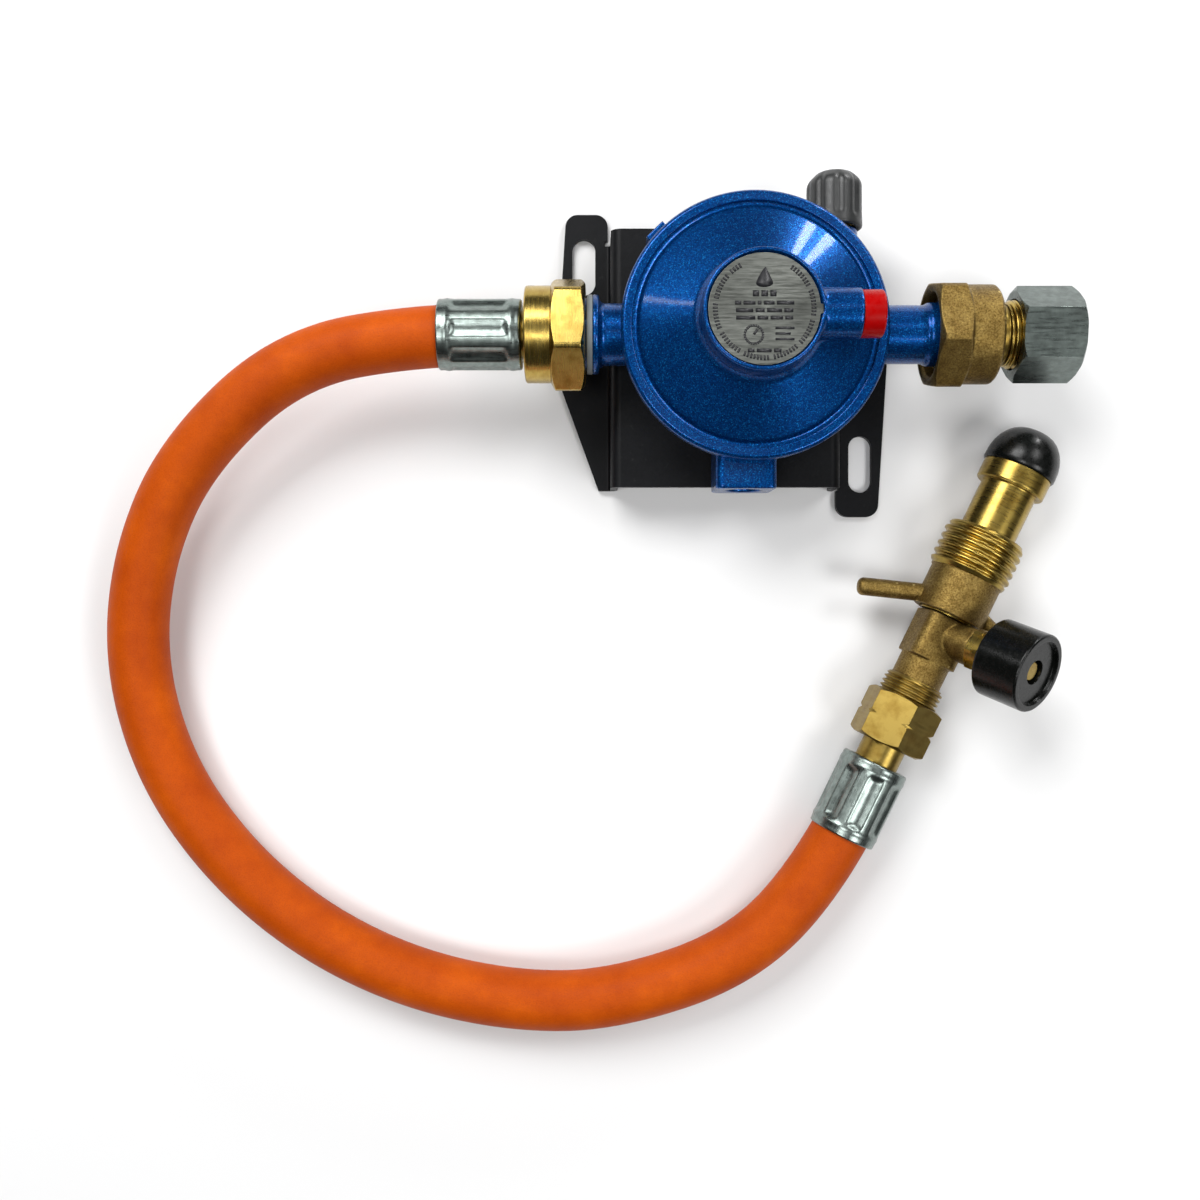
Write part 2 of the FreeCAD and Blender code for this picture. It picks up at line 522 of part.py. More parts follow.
def regulator_body():
    """The lower casting: bowl, ports, bosses, and the guide and posts inside it."""
    bowl = turned("bowl", [
        ("0", "bowl_bottom"), ("bowl_floor_r", "bowl_bottom"), ("bowl_r", "bowl_bevel_top"),
        ("bowl_r", "flange_bottom"), ("flange_r", "flange_bottom"),
        ("flange_r", "flange_top"), ("cavity_r", "flange_top"),
        ("cavity_r", "cavity_floor"), ("0", "cavity_floor")])
    inlet = turned("inlet_port", [
        ("0", "inlet_tube_start"), ("inlet_tube_r", "inlet_tube_start"),
        ("inlet_tube_r", "inlet_tube_end - edge_break * 2"),
        ("inlet_tube_r + edge_break * 2", "inlet_tube_end"),
        ("inlet_collar_r - edge_break", "inlet_tube_end"),
        ("inlet_collar_r", "inlet_tube_end + edge_break"),
        ("inlet_collar_r", "inlet_collar_end"), ("inlet_thread_r", "inlet_collar_end"),
        ("inlet_thread_r", "inlet_thread_end - edge_break"),
        ("inlet_thread_r - edge_break", "inlet_thread_end"), ("0", "inlet_thread_end")])
    outlet = turned("outlet_port", [
        ("0", "outlet_tube_start"), ("outlet_tube_r", "outlet_tube_start"),
        ("outlet_tube_r", "outlet_tube_end"),
        ("outlet_collar_r", "outlet_tube_end + edge_break"),
        ("outlet_collar_r", "outlet_collar_end"), ("outlet_thread_r", "outlet_collar_end"),
        ("outlet_thread_r", "outlet_end - edge_break"),
        ("outlet_thread_r - edge_break", "outlet_end"), ("0", "outlet_end")])
    for port, turn in ((inlet, ALONG_BACK_X), (outlet, ALONG_X)):
        port.Placement = FreeCAD.Placement(FreeCAD.Vector(0, 0, SIZES["port_z"]), turn)
    drain = block("drain_boss_blank", "drain_wide", "drain_reach - cavity_r + past", "drain_wide",
                  "drain_x - drain_wide / 2", "0 - drain_reach", "port_z - drain_wide / 2")
    drain = rounded("drain_boss", drain, "drain_round",
                    lambda edge: runs_along(edge, Y, 1))
    solids = [bowl, inlet, outlet, drain,
              cylinder("test_boss", "test_boss_r", "test_boss_reach - test_boss_root", "test_x",
                       "test_boss_root", "port_z", ALONG_Y)]
    lug = block("lug", "lug_reach - cavity_r - past", "lug_wide", "lug_tall", "cavity_r + past",
                "0 - lug_wide / 2", "lug_z")
    solids.append(turn_about_middle(lug, FreeCAD.Rotation(Z, SIZES["lug_angle"])))
    for name, sign in (("upper", "+"), ("lower", "-")):
        y = f"0 {sign} screw_y"
        solids.append(cylinder(f"{name}_pad", "pad_r", "cavity_floor - plate_top", "0", y,
                               "plate_top"))
        solids.append(cylinder(f"{name}_boss", "screw_boss_r",
                               "screw_boss_top - cavity_floor + past", "0", y,
                               "cavity_floor - past"))
    solids.append(block("plunger_guide", "guide_far - guide_near", "guide_wide",
                        "guide_top - cavity_floor + past", "0 - guide_far",
                        "0 - guide_wide / 2", "cavity_floor - past"))
    for name, low in (("near", "0 - post_gap / 2 - post_thick"), ("far", "0 + post_gap / 2")):
        solids.append(block(f"{name}_post", "post_long", "post_thick",
                            "post_top - cavity_floor + past", "pin_x - post_long / 2", low,
                            "cavity_floor - past"))
    tools = [
        cylinder("inlet_bore", "inlet_bore_r", "bore_long", "0 - jet_far", "0", "port_z",
                 ALONG_BACK_X),
        cylinder("jet_thread", "jet_r", "jet_far - jet_bore_start + past",
                 "0 - jet_bore_start", "0", "port_z", ALONG_BACK_X),
        cylinder("outlet_bore", "outlet_bore_r", "outlet_end", "outlet_tube_start - past", "0",
                 "port_z", ALONG_X),
        cylinder("plunger_bore", "plunger_r + snug", "guide_far", "0 - guide_near + past", "0",
                 "port_z", ALONG_BACK_X),
        cylinder("pin_bore", "pin_r", "post_gap + post_thick * 3", "pin_x",
                 "0 - post_gap / 2 - post_thick * 1.5", "pin_z", ALONG_Y),
        cylinder("drain_hole", "drain_hole_r", "drain_hole_deep + past", "drain_x",
                 "0 - drain_reach - past", "port_z", ALONG_Y),
        cylinder("test_bore", "orifice_r", "bore_long", "test_x", "test_bore_start", "port_z",
                 ALONG_Y)]
    for name, sign in (("upper", "+"), ("lower", "-")):
        tools.append(cylinder(f"{name}_screw_bore", "screw_r + snug",
                              "screw_long - past", "0", f"0 {sign} screw_y",
                              "plate_top - past"))
    casting = cut("body_casting", fuse("body_blank", *solids), *tools)
    return keep("regulator_body", casting, regulator_frame())


def regulator_cover():
    """The upper casting: a low dome, a boss for the label, and the vent snout."""
    outer = turned("cover_outside", [
        ("0", "cover_bottom"), ("flange_r", "cover_bottom"), ("flange_r", "cover_flange"),
        ("dome_foot_r", "cover_flange"), ("dome_foot_r", "dome_foot"), ("dome_r", "dome_z"),
        ("dome_top_r", "dome_top"), ("boss_r", "boss_foot"),
        ("boss_r", "boss_top - edge_break"), ("boss_r - edge_break", "boss_top"),
        ("0", "boss_top")])
    snout = cylinder("snout", "snout_r", "snout_reach - snout_start", "snout_start", "0",
                     "snout_z", ALONG_X)
    web = block("snout_web", "vent_web_reach - snout_start", "vent_web",
                "snout_z - vent_web_bottom", "snout_start", "0 - vent_web / 2",
                "vent_web_bottom")
    inside = turned("cover_inside", [
        ("0", "cover_bottom - past"), ("inner_foot_r", "cover_bottom - past"),
        ("inner_foot_r", "cover_bottom"), ("cap_bore_r", "inner_top"),
        ("cap_bore_r", "label_seat"), ("label_seat_r", "label_seat"),
        ("label_seat_r", "boss_top + past"), ("0", "boss_top + past")])
    vent = cylinder("vent_bore", "vent_bore_r", "snout_reach", "cap_bore_r - past * 2", "0",
                    "snout_z", ALONG_X)
    key = block("label_key_seat", "label_key_reach - label_key_root + snug",
                "label_key + loose", "label_key_deep", "label_key_root",
                "0 - label_key / 2 - loose / 2", "label_seat")
    cover = cut("cover_casting", fuse("cover_blank", outer, snout, web), inside, vent, key)
    return keep("regulator_cover", cover, regulator_frame())


def regulator_top():
    keep("crimp_ring", turned("ring_steel", [
        ("ring_wall_r", "ring_bottom + ring_thick"), ("ring_lip_r", "ring_bottom + ring_thick"),
        ("ring_lip_r", "ring_bottom"), ("ring_r - ring_round", "ring_bottom"),
        ("ring_r", "ring_bottom + ring_round"), ("ring_r", "ring_top - ring_round"),
        ("ring_r - ring_round", "ring_top"), ("ring_lip_r", "ring_top"),
        ("ring_lip_r", "ring_upper_lip"), ("ring_wall_r", "ring_upper_lip")]),
        regulator_frame())
    disc = cylinder("label_round", "label_r", "label_thick", "0", "0", "label_seat + snug")
    key = block("label_tongue", "label_key_reach - label_key_root", "label_key", "label_thick",
                "label_key_root", "0 - label_key / 2", "label_seat + snug")
    keep("label_disc", fuse("label_blank", disc, key), regulator_frame())
    plug = turned("vent_plug_turned", [
        ("0", "plug_stem_start"), ("plug_stem_r", "plug_stem_start"),
        ("plug_stem_r", "snout_reach + snug"), ("plug_r", "snout_reach + snug"),
        ("plug_r", "plug_reach - edge_break"), ("plug_r - edge_break", "plug_reach"),
        ("0", "plug_reach")])
    keep("vent_plug", plug, regulator_frame(SIZES["snout_z"], ALONG_X))
    adjuster = turned("adjuster_turned", [
        ("0", "adjuster_bottom"), ("adjuster_r", "adjuster_bottom"),
        ("adjuster_r", "adjuster_bottom + adjuster_thick"),
        ("0", "adjuster_bottom + adjuster_thick")])
    socket = hexagon("adjuster_socket", "adjuster_flats", "adjuster_bottom - past",
                     "adjuster_bottom + adjuster_thick + past")
    keep("adjuster_screw", cut("adjuster_cut", adjuster, socket), regulator_frame())


def diaphragm_stack():
    """The rubber diaphragm, its steel disc, the stem through both, and the relief parts."""
    top = "membrane_z + membrane_thick"
    keep("diaphragm", turned("membrane", [
        ("membrane_hole_r", "membrane_z"), ("membrane_flat_r", "membrane_z"),
        ("membrane_slope_r", "bead_bottom"), ("flange_r", "bead_bottom"),
        ("flange_r", "bead_top"), ("membrane_slope_r", "bead_top"),
        ("membrane_flat_r", top), ("membrane_hole_r", top)]), regulator_frame())
    keep("diaphragm_plate", turned("diaphragm_disc", [
        ("membrane_hole_r", "disc_bottom"), ("disc_r", "disc_bottom"),
        ("disc_r", "disc_lip_top"), ("disc_r - disc_thick", "disc_lip_top"),
        ("disc_r - disc_thick", "disc_bottom + disc_thick"),
        ("membrane_hole_r", "disc_bottom + disc_thick")]), regulator_frame())
    rod = turned("stem_rod", [
        ("0", "eye_top - past"), ("stem_r", "eye_top - past"), ("stem_r", "stem_flange_bottom"),
        ("stem_flange_r", "stem_flange_bottom"), ("stem_flange_r", "stem_flange_top"),
        ("stem_top_r", "stem_flange_top"), ("stem_top_r", "stem_top"), ("0", "stem_top")])
    eye = block("stem_eye", "eye_long", "eye_wide", "eye_top - eye_bottom",
                "0 - eye_long / 2", "0 - eye_wide / 2", "eye_bottom")
    window = block("stem_window", "eye_long * 2", "window_wide", "window_top - window_bottom",
                   "0 - eye_long", "0 - window_wide / 2", "window_bottom")
    keep("diaphragm_stem", cut("stem_cut", fuse("stem_blank", rod, eye), window),
         regulator_frame())
    nut = hexagon("relief_hex", "relief_nut_flats", "relief_nut_bottom",
                  "relief_nut_bottom + relief_nut_thick")
    bore = cylinder("relief_bore", "stem_top_r + snug", "bore_long", "0", "0", "stem_flange_top")
    keep("relief_nut", cut("relief_cut", nut, bore), regulator_frame())
    spring("relief_spring", "relief_spring_r", "relief_wire", "relief_pitch",
           "relief_spring_bottom", "relief_spring_top", regulator_frame())
    spring("main_spring", "main_spring_r", "main_wire", "main_pitch",
           "main_spring_bottom", "main_spring_top", regulator_frame())


def jet_and_lever():
    """The jet, the plunger that shuts it, and the lever between plunger and diaphragm."""
    keep("inlet_jet", turned("jet_turned", [
        ("orifice_r", "jet_nose"), ("jet_nose_r", "jet_nose"),
        ("jet_nose_r + edge_break", "jet_face"), ("jet_r", "jet_face"), ("jet_r", "jet_far"),
        ("orifice_r", "jet_far")]), inlet_frame())
    keep("valve_plunger", turned("plunger_turned", [
        ("0", "plunger_near"), ("plunger_r", "plunger_near"), ("plunger_r", "plunger_far"),
        ("0", "plunger_far")]), inlet_frame())
    keep("seat_pad", turned("pad_turned", [
        ("0", "plunger_far"), ("seat_r", "plunger_far"), ("seat_r", "pad_far"),
        ("0", "pad_far")]), inlet_frame())
    hub = cylinder("lever_hub", "hub_r", "hub_wide", "pin_x", "0 - hub_wide / 2", "pin_z",
                   ALONG_Y)
    half_arm = "0 - arm_wide / 2"
    arm = block("lever_arm", "0 - pin_x", "arm_wide", "arm_thick", "pin_x", half_arm,
                "pin_z - arm_thick / 2")
    tip = cylinder("lever_tip", "nose_r", "arm_wide", "0", half_arm, "pin_z", ALONG_Y)
    upright = block("lever_upright", "arm_thick", "arm_wide", "port_z - pin_z",
                    "pin_x - nose_back - arm_thick / 2", half_arm, "pin_z")
    nose = cylinder("lever_nose", "nose_r", "arm_wide", "pin_x - nose_back", half_arm,
                    "port_z", ALONG_Y)
    bore = cylinder("lever_bore", "pin_r + snug", "hub_wide * 2", "pin_x", "0 - hub_wide",
                    "pin_z", ALONG_Y)
    keep("lever", cut("lever_cut", fuse("lever_blank", hub, arm, tip, upright, nose), bore),
         regulator_frame())
    pin = cylinder("pin_rod", "pin_r", "post_gap + post_thick * 2",
                   "pin_x", "0 - post_gap / 2 - post_thick", "pin_z", ALONG_Y)
    keep("lever_pin", fuse("pin_blank", pin, cylinder(
        "pin_head", "pin_r + edge_break", "pin_head_thick", "pin_x",
        "post_gap / 2 + post_thick", "pin_z", ALONG_Y)), regulator_frame())


def side_fittings():
    """The drain boss's screw plug, and the test nipple under its cap."""
    plug = turned("drain_plug_turned", [
        ("0", "0"), ("drain_hole_r - snug", "0"),
        ("drain_hole_r - snug", "drain_plug_long"), ("0", "drain_plug_long")])
    drive = hexagon("drain_drive", "drain_hole_r", "drain_drive_start", "drain_hole_deep")
    place = FreeCAD.Placement(
        FreeCAD.Vector(SIZES["axis_x"] + SIZES["drain_x"],
                       SIZES["axis_y"] - SIZES["drain_reach"] + SIZES["drain_hole_deep"],
                       SIZES["port_z"]), ALONG_BACK_Y)
    keep("drain_plug", cut("drain_plug_cut", plug, drive), place)
    place = FreeCAD.Placement(
        FreeCAD.Vector(SIZES["axis_x"] + SIZES["test_x"], SIZES["axis_y"], SIZES["port_z"]),
        ALONG_Y)
    keep("test_nipple", turned("nipple_turned", [
        ("orifice_r", "nipple_foot"), ("nipple_foot_r", "nipple_foot"),
        ("nipple_foot_r", "nipple_step"), ("nipple_r", "nipple_neck"),
        ("nipple_r", "nipple_edge"), ("orifice_r", "nipple_end")]), place)
    cap = turned("test_cap_turned", [
        ("tip_cap_bore_r", "tip_cap_start"), ("tip_cap_r", "tip_cap_start"),
        ("tip_cap_r", "tip_cap_edge"), ("tip_cap_top_r", "tip_cap_end"),
        ("0", "tip_cap_end"), ("0", "tip_cap_inside_end"),
        ("tip_cap_bore_r", "tip_cap_inside_end")])
    keep("test_cap", cap, place)


# ---------------------------------------------------------------- inlet line and hose

def inlet_fittings():
    keep("inlet_seal", turned("seal_ring", [
        ("inlet_thread_r + snug", "inlet_collar_end"), ("inlet_collar_r", "inlet_collar_end"),
        ("inlet_collar_r", "inlet_seal_end"), ("inlet_thread_r + snug", "inlet_seal_end")]),
        inlet_frame())
    keep("inlet_filter", turned("filter_cup", [
        ("0", "filter_start"), ("filter_r", "filter_start"), ("filter_r", "filter_end"),
        ("filter_r - filter_wall", "filter_end"),
        ("filter_r - filter_wall", "filter_start + filter_wall"),
        ("0", "filter_start + filter_wall")]), inlet_frame())
    blank = hex_blank("inlet_hex", "inlet_nut_flats", "inlet_nut_start", "inlet_hex_end",
                      "inlet_nut_corner_r", "inlet_nut_face_r", "inlet_nut_bevel", "inlet_hex_turn")
    collar = turned("inlet_nut_collar", [
        ("0", "inlet_hex_end - past"), ("inlet_collar_nut_r", "inlet_hex_end - past"),
        ("inlet_collar_nut_r", "inlet_nut_end - edge_break"),
        ("inlet_collar_nut_r - edge_break", "inlet_nut_end"), ("0", "inlet_nut_end")])
    bore = turned("inlet_nut_bore", [
        ("0", "inlet_nut_start - past"), ("inlet_nut_bore_r", "inlet_nut_start - past"),
        ("inlet_nut_bore_r", "inlet_lip"), ("inlet_lip_r", "inlet_lip"),
        ("inlet_lip_r", "inlet_nut_end + past"), ("0", "inlet_nut_end + past")])
    keep("inlet_nut", cut("inlet_nut_cut", fuse("inlet_nut_blank", blank, collar), bore),
         inlet_frame())
    keep("inlet_tail", turned("inlet_tail_turned", [
        ("tail_bore_r", "tail_seat"), ("tail_flange_r - edge_break", "tail_seat"),
        ("tail_flange_r", "tail_seat + edge_break"), ("tail_flange_r", "tail_flange_end"),
        ("tail_neck_r", "tail_flange_end"), ("tail_neck_r", "tail_neck_end - 2"),
        ("barb_r", "tail_neck_end - 2"), ("barb_r", "tail_end"),
        ("tail_bore_r", "tail_end")]), inlet_frame())
    keep("ferrule_inlet", turned("ferrule_inlet_sleeve", sleeve(
        "ferrule_start", "ferrule_start + ferrule_long", "ferrule_start + ferrule_cap",
        "cap first")), inlet_frame())


def sleeve(start, end, cap, which):
    """A crimped sleeve: open where the hose goes in, with a holed cap at the fitting."""
    inner = "ferrule_r - ferrule_wall"
    if which == "cap first":
        return [("ferrule_neck_r", start), ("ferrule_r - edge_break", start),
                ("ferrule_r", f"{start} + edge_break"), ("ferrule_r", end), (inner, end),
                (inner, cap), ("ferrule_neck_r", cap)]
    return [("ferrule_neck_r", end), ("ferrule_r - edge_break", end),
            ("ferrule_r", f"{end} - edge_break"), ("ferrule_r", start), (inner, start),
            (inner, cap), ("ferrule_neck_r", cap)]


def hose_path():
    """Straight runs joined by tangent arcs, each as large as its two runs allow."""
    points = [FreeCAD.Vector(*p) for p in HOSE_ROUTE]
    edges, radii, length, at = [], [], 0.0, points[0]
    for before, corner, after in zip(points, points[1:], points[2:]):
        into, out = corner - before, after - corner
        reach = ARC_SHARE * min(into.Length, out.Length)
        half_turn = into.getAngle(out) / 2
        into.normalize()
        out.normalize()
        start, end = corner - into * reach, corner + out * reach
        radius = reach / math.tan(half_turn)
        sideways = (out - into).normalize()
        middle = corner + sideways * (radius / math.cos(half_turn) - radius)
        edges.append(Part.LineSegment(at, start).toShape())
        edges.append(Part.Arc(start, middle, end).toShape())
        radii.append(radius)
        length += (start - at).Length + 2 * radius * half_turn
        at = end
    edges.append(Part.LineSegment(at, points[-1]).toShape())
    length += (points[-1] - at).Length
    return Part.Wire(edges), radii, length


def hose():
    """A plain tube on the route, with its radii, length and volume printed."""
    path, radii, length = hose_path()
    start, first = FreeCAD.Vector(*HOSE_ROUTE[0]), FreeCAD.Vector(*HOSE_ROUTE[1])
    outer_r, inner_r = SIZES["hose_od"] / 2, SIZES["hose_bore"] / 2

    def swept(radius):
        ring = Part.Wire(Part.Circle(start, first - start, radius).toShape())
        return path.makePipeShell([ring], True, False)

    tube = swept(outer_r).cut(swept(inner_r))
    expected = math.pi * (outer_r ** 2 - inner_r ** 2) * length
    print("hose radii", [round(r, 1) for r in radii])
    print(f"hose length {length:.1f} volume {tube.Volume:.0f} expected {expected:.0f}")
    thing = add("Part::Feature", "hose_tube")
    thing.Shape = tube
    keep("hose", thing, FreeCAD.Placement())


# ---------------------------------------------------------------- outlet line

def outlet_fittings():
    keep("outlet_gasket", turned("gasket_ring", [
        ("outlet_bore_r + edge_break", "outlet_end"), ("gasket_r", "outlet_end"),
        ("gasket_r", "gasket_end"), ("outlet_bore_r + edge_break", "gasket_end")]),
        outlet_frame())
    blank = hex_blank("union_hex", "union_flats", "union_start", "union_hex_end",
                      "union_corner_r", "union_face_r", "union_bevel", "union_hex_turn")
    drum = turned("union_drum", [
        ("0", "union_drum_start"), ("union_round_r", "union_drum_start"),
        ("union_round_r", "union_end - edge_break * 2"),
        ("union_round_r - edge_break * 2", "union_end"), ("0", "union_end")])
    bore = turned("union_bore", [
        ("0", "union_start - past"), ("union_bore_r + edge_break * 2", "union_start - past"),
        ("union_bore_r + edge_break * 2", "union_start"),
        ("union_bore_r", "union_start + edge_break * 2"), ("union_bore_r", "union_lip"),
        ("union_lip_r", "union_lip"), ("union_lip_r", "union_end + past"),
        ("0", "union_end + past")])
    keep("outlet_union_nut", cut("union_cut", fuse("union_blank", blank, drum), bore),
         outlet_frame())
    keep("outlet_tail", turned("outlet_tail_turned", [
        ("out_passage_r", "gasket_end"), ("out_flange_r", "gasket_end"),
        ("out_flange_r", "out_flange_end"), ("out_neck_r", "out_flange_end"),
        ("out_neck_r", "out_thread_start"),
        ("out_thread_r - edge_break", "out_thread_start"),
        ("out_thread_r", "out_thread_start + edge_break"),
        ("out_thread_r", "out_thread_end"), ("mouth_r", "out_thread_end"),
        ("pipe_r", "mouth_start"), ("pipe_r", "pipe_stop"),
        ("out_passage_r", "pipe_stop")]), outlet_frame())
    limits = turned("nut_limits", [
        ("0", "nut_start"), ("nut_face_r", "nut_start"),
        ("nut_corner_r", "nut_cone_end"),
        ("nut_corner_r", "nut_end - nut_back_bevel"), ("nut_back_r", "nut_end"),
        ("0", "nut_end")])
    prism = hexagon("nut_prism", "nut_flats", "nut_start", "nut_end", "nut_hex_turn")
    bore = turned("nut_bore", [
        ("0", "nut_start - past"), ("nut_bore_r", "nut_start - past"),
        ("nut_bore_r", "nut_seat_start"), ("nut_seat_r", "nut_seat_end"),
        ("pipe_r", "nut_seat_end"), ("pipe_r", "nut_end + past"), ("0", "nut_end + past")])
    keep("compression_nut", cut("nut_cut", common("nut_blank", prism, limits), bore),
         outlet_frame())
    keep("cutting_ring", turned("cutter_turned", [
        ("pipe_r", "cutter_start"), ("cutter_thin_r", "cutter_start"),
        ("cutter_shoulder_r", "cutter_shoulder"), ("cutter_r", "cutter_shoulder"),
        ("cutter_r", "cutter_shoulder + cutter_land"), ("cutter_shoulder_r", "cutter_end"),
        ("pipe_r", "cutter_end")]), outlet_frame())


# ---------------------------------------------------------------- cylinder connector

def connector_hose_end():
    keep("ferrule_connector", turned("ferrule_connector_sleeve", sleeve(
        "0", "c_ferrule_end", "c_cap_start", "cap last")), connector_frame())
    keep("connector_tail", turned("connector_tail_turned", [
        ("tail_bore_r", "c_barb_start"), ("barb_r", "c_barb_start"),
        ("barb_r", "c_neck_start"), ("tail_neck_r", "c_neck_start"),
        ("tail_neck_r", "c_flange_start"),
        ("c_flange_r", "c_flange_start"), ("c_flange_r", "c_flange_end - c_flange_bevel"),
        ("c_flange_r - c_flange_bevel", "c_flange_end"), ("tail_bore_r", "c_flange_end")]),
        connector_frame())
    blank = hex_blank("c_hex", "c_nut_flats", "c_nut_start", "c_nut_end",
                      "c_nut_corner_r", "c_nut_face_r", "c_nut_bevel", "c_hex_turn")
    bore = turned("c_nut_bore", [
        ("0", "c_nut_start - past"), ("inlet_lip_r", "c_nut_start - past"),
        ("inlet_lip_r", "c_lip"), ("c_nut_bore_r", "c_lip"),
        ("c_nut_bore_r", "c_nut_end + past"), ("0", "c_nut_end + past")])
    keep("connector_nut", cut("c_nut_cut", blank, bore), connector_frame())


def valve_body():
    """A cast body between the hose's thread and the spigot, with the side port's neck."""
    threaded = turned("valve_thread", [
        ("0", "c_thread_start"), ("c_thread_r - edge_break", "c_thread_start"),
        ("c_thread_r", "c_thread_start + edge_break"), ("c_thread_r", "c_thread_end"),
        ("valve_neck_r", "c_thread_end"), ("valve_neck_r", "valve_block_end"),
        ("0", "valve_block_end")])
    square = block("valve_square", "valve_wide", "valve_wide",
                   "valve_block_end - valve_block_start", "0 - valve_wide / 2",
                   "0 - valve_wide / 2", "valve_block_start")
    square = rounded("valve_rounded", square, "valve_round",
                     lambda edge: runs_along(edge, Z, 1))
    square = turn_about_middle(square, FreeCAD.Rotation(Z, SIZES["valve_turn"]))
    base = FreeCAD.Vector(0, 0, SIZES["side_station"])
    neck = turned("side_neck", [
        ("0", "0"), ("side_neck_r", "0"), ("side_neck_r", "side_neck_end - edge_break"),
        ("side_neck_r - edge_break", "side_neck_end"), ("0", "side_neck_end")])
    neck_bore = turned("side_neck_bore", [
        ("0", "0"), ("side_bore_r", "0"), ("side_bore_r", "side_socket_start"),
        ("side_socket_r", "side_socket_start"), ("side_socket_r", "side_neck_end + past"),
        ("0", "side_neck_end + past")])
    for thing in (neck, neck_bore):
        thing.Placement = FreeCAD.Placement(base, side_turn())
    passage = turned("valve_passage", [
        ("0", "c_thread_start - past"), ("valve_bore_r", "c_thread_start - past"),
        ("valve_bore_r", "chamber_start"), ("chamber_r", "chamber_start + chamber_cone"),
        ("chamber_r", "shank_start"), ("shank_r", "shank_start"),
        ("shank_r", "valve_block_end + past"), ("0", "valve_block_end + past")])
    blank = fuse("valve_blank", threaded, square, neck)
    keep("valve_body", cut("valve_cut", blank, passage, neck_bore), connector_frame())


def spigot_and_nose():
    keep("pol_spigot", turned("spigot_turned", [
        ("spigot_bore_r", "shank_start + snug"), ("shank_r - snug", "shank_start + snug"),
        ("shank_r - snug", "spigot_start"), ("spigot_r", "spigot_start"),
        ("spigot_r", "spigot_end"), ("shoulder_r - edge_break", "spigot_end"),
        ("shoulder_r", "spigot_end + edge_break"), ("shoulder_r", "shoulder_end"),
        ("nose_barb_r - snug", "shoulder_end"), ("nose_barb_r - snug", "nose_barb_end"),
        ("spigot_bore_r", "nose_barb_end")]), connector_frame())
    keep("pol_nose_seal", turned("nose_turned", [
        ("nose_barb_r", "shoulder_end"), ("nose_base_r", "shoulder_end"),
        ("nose_base_r", "nose_base_end"), ("nose_low_r", "nose_low"),
        ("nose_mid_r", "nose_mid"), ("nose_high_r", "nose_high"), ("nose_tip_r", "nose_end"),
        ("spigot_bore_r", "nose_end"), ("spigot_bore_r", "nose_barb_end"),
        ("nose_barb_r", "nose_barb_end")]), connector_frame())


def pol_nut():
    """The cylinder nut: a plain cast skirt with two swept-back wings, then the thread."""
    drum = turned("pol_drum", [
        ("0", "pol_start"), ("pol_plain_r", "pol_start"),
        ("pol_plain_r", "pol_plain_end"), ("pol_thread_r", "pol_plain_end + past"),
        ("pol_thread_r", "pol_end - edge_break * 2"),
        ("pol_thread_r - edge_break * 2", "pol_end"), ("0", "pol_end")])
    sweep = math.radians(SIZES["wing_sweep"])
    wings = []
    for name, side in (("left", -1), ("right", 1)):
        way = FreeCAD.Vector(side * math.cos(sweep), 0, -math.sin(sweep))
        wing = cylinder(f"{name}_wing", "wing_r", "wing_long", "0", "0",
                        "wing_root", FreeCAD.Rotation(Z, way))
        inner = SIZES["pol_plain_r"] / 2
        put(wing, str(round(way.x * inner, 4)), "0", "wing_root")
        wings.append(rounded(f"{name}_wing_round", wing, "wing_tip_round",
                             lambda edge, far=SIZES["pol_plain_r"] * 2:
                             abs(edge.CenterOfMass.x) > far))
    bore = cylinder("pol_bore", "pol_bore_r", "tool_wide", "0", "0", "pol_start - past")
    keep("pol_nut", cut("pol_cut", fuse("pol_blank", drum, *wings), bore),
         connector_frame())


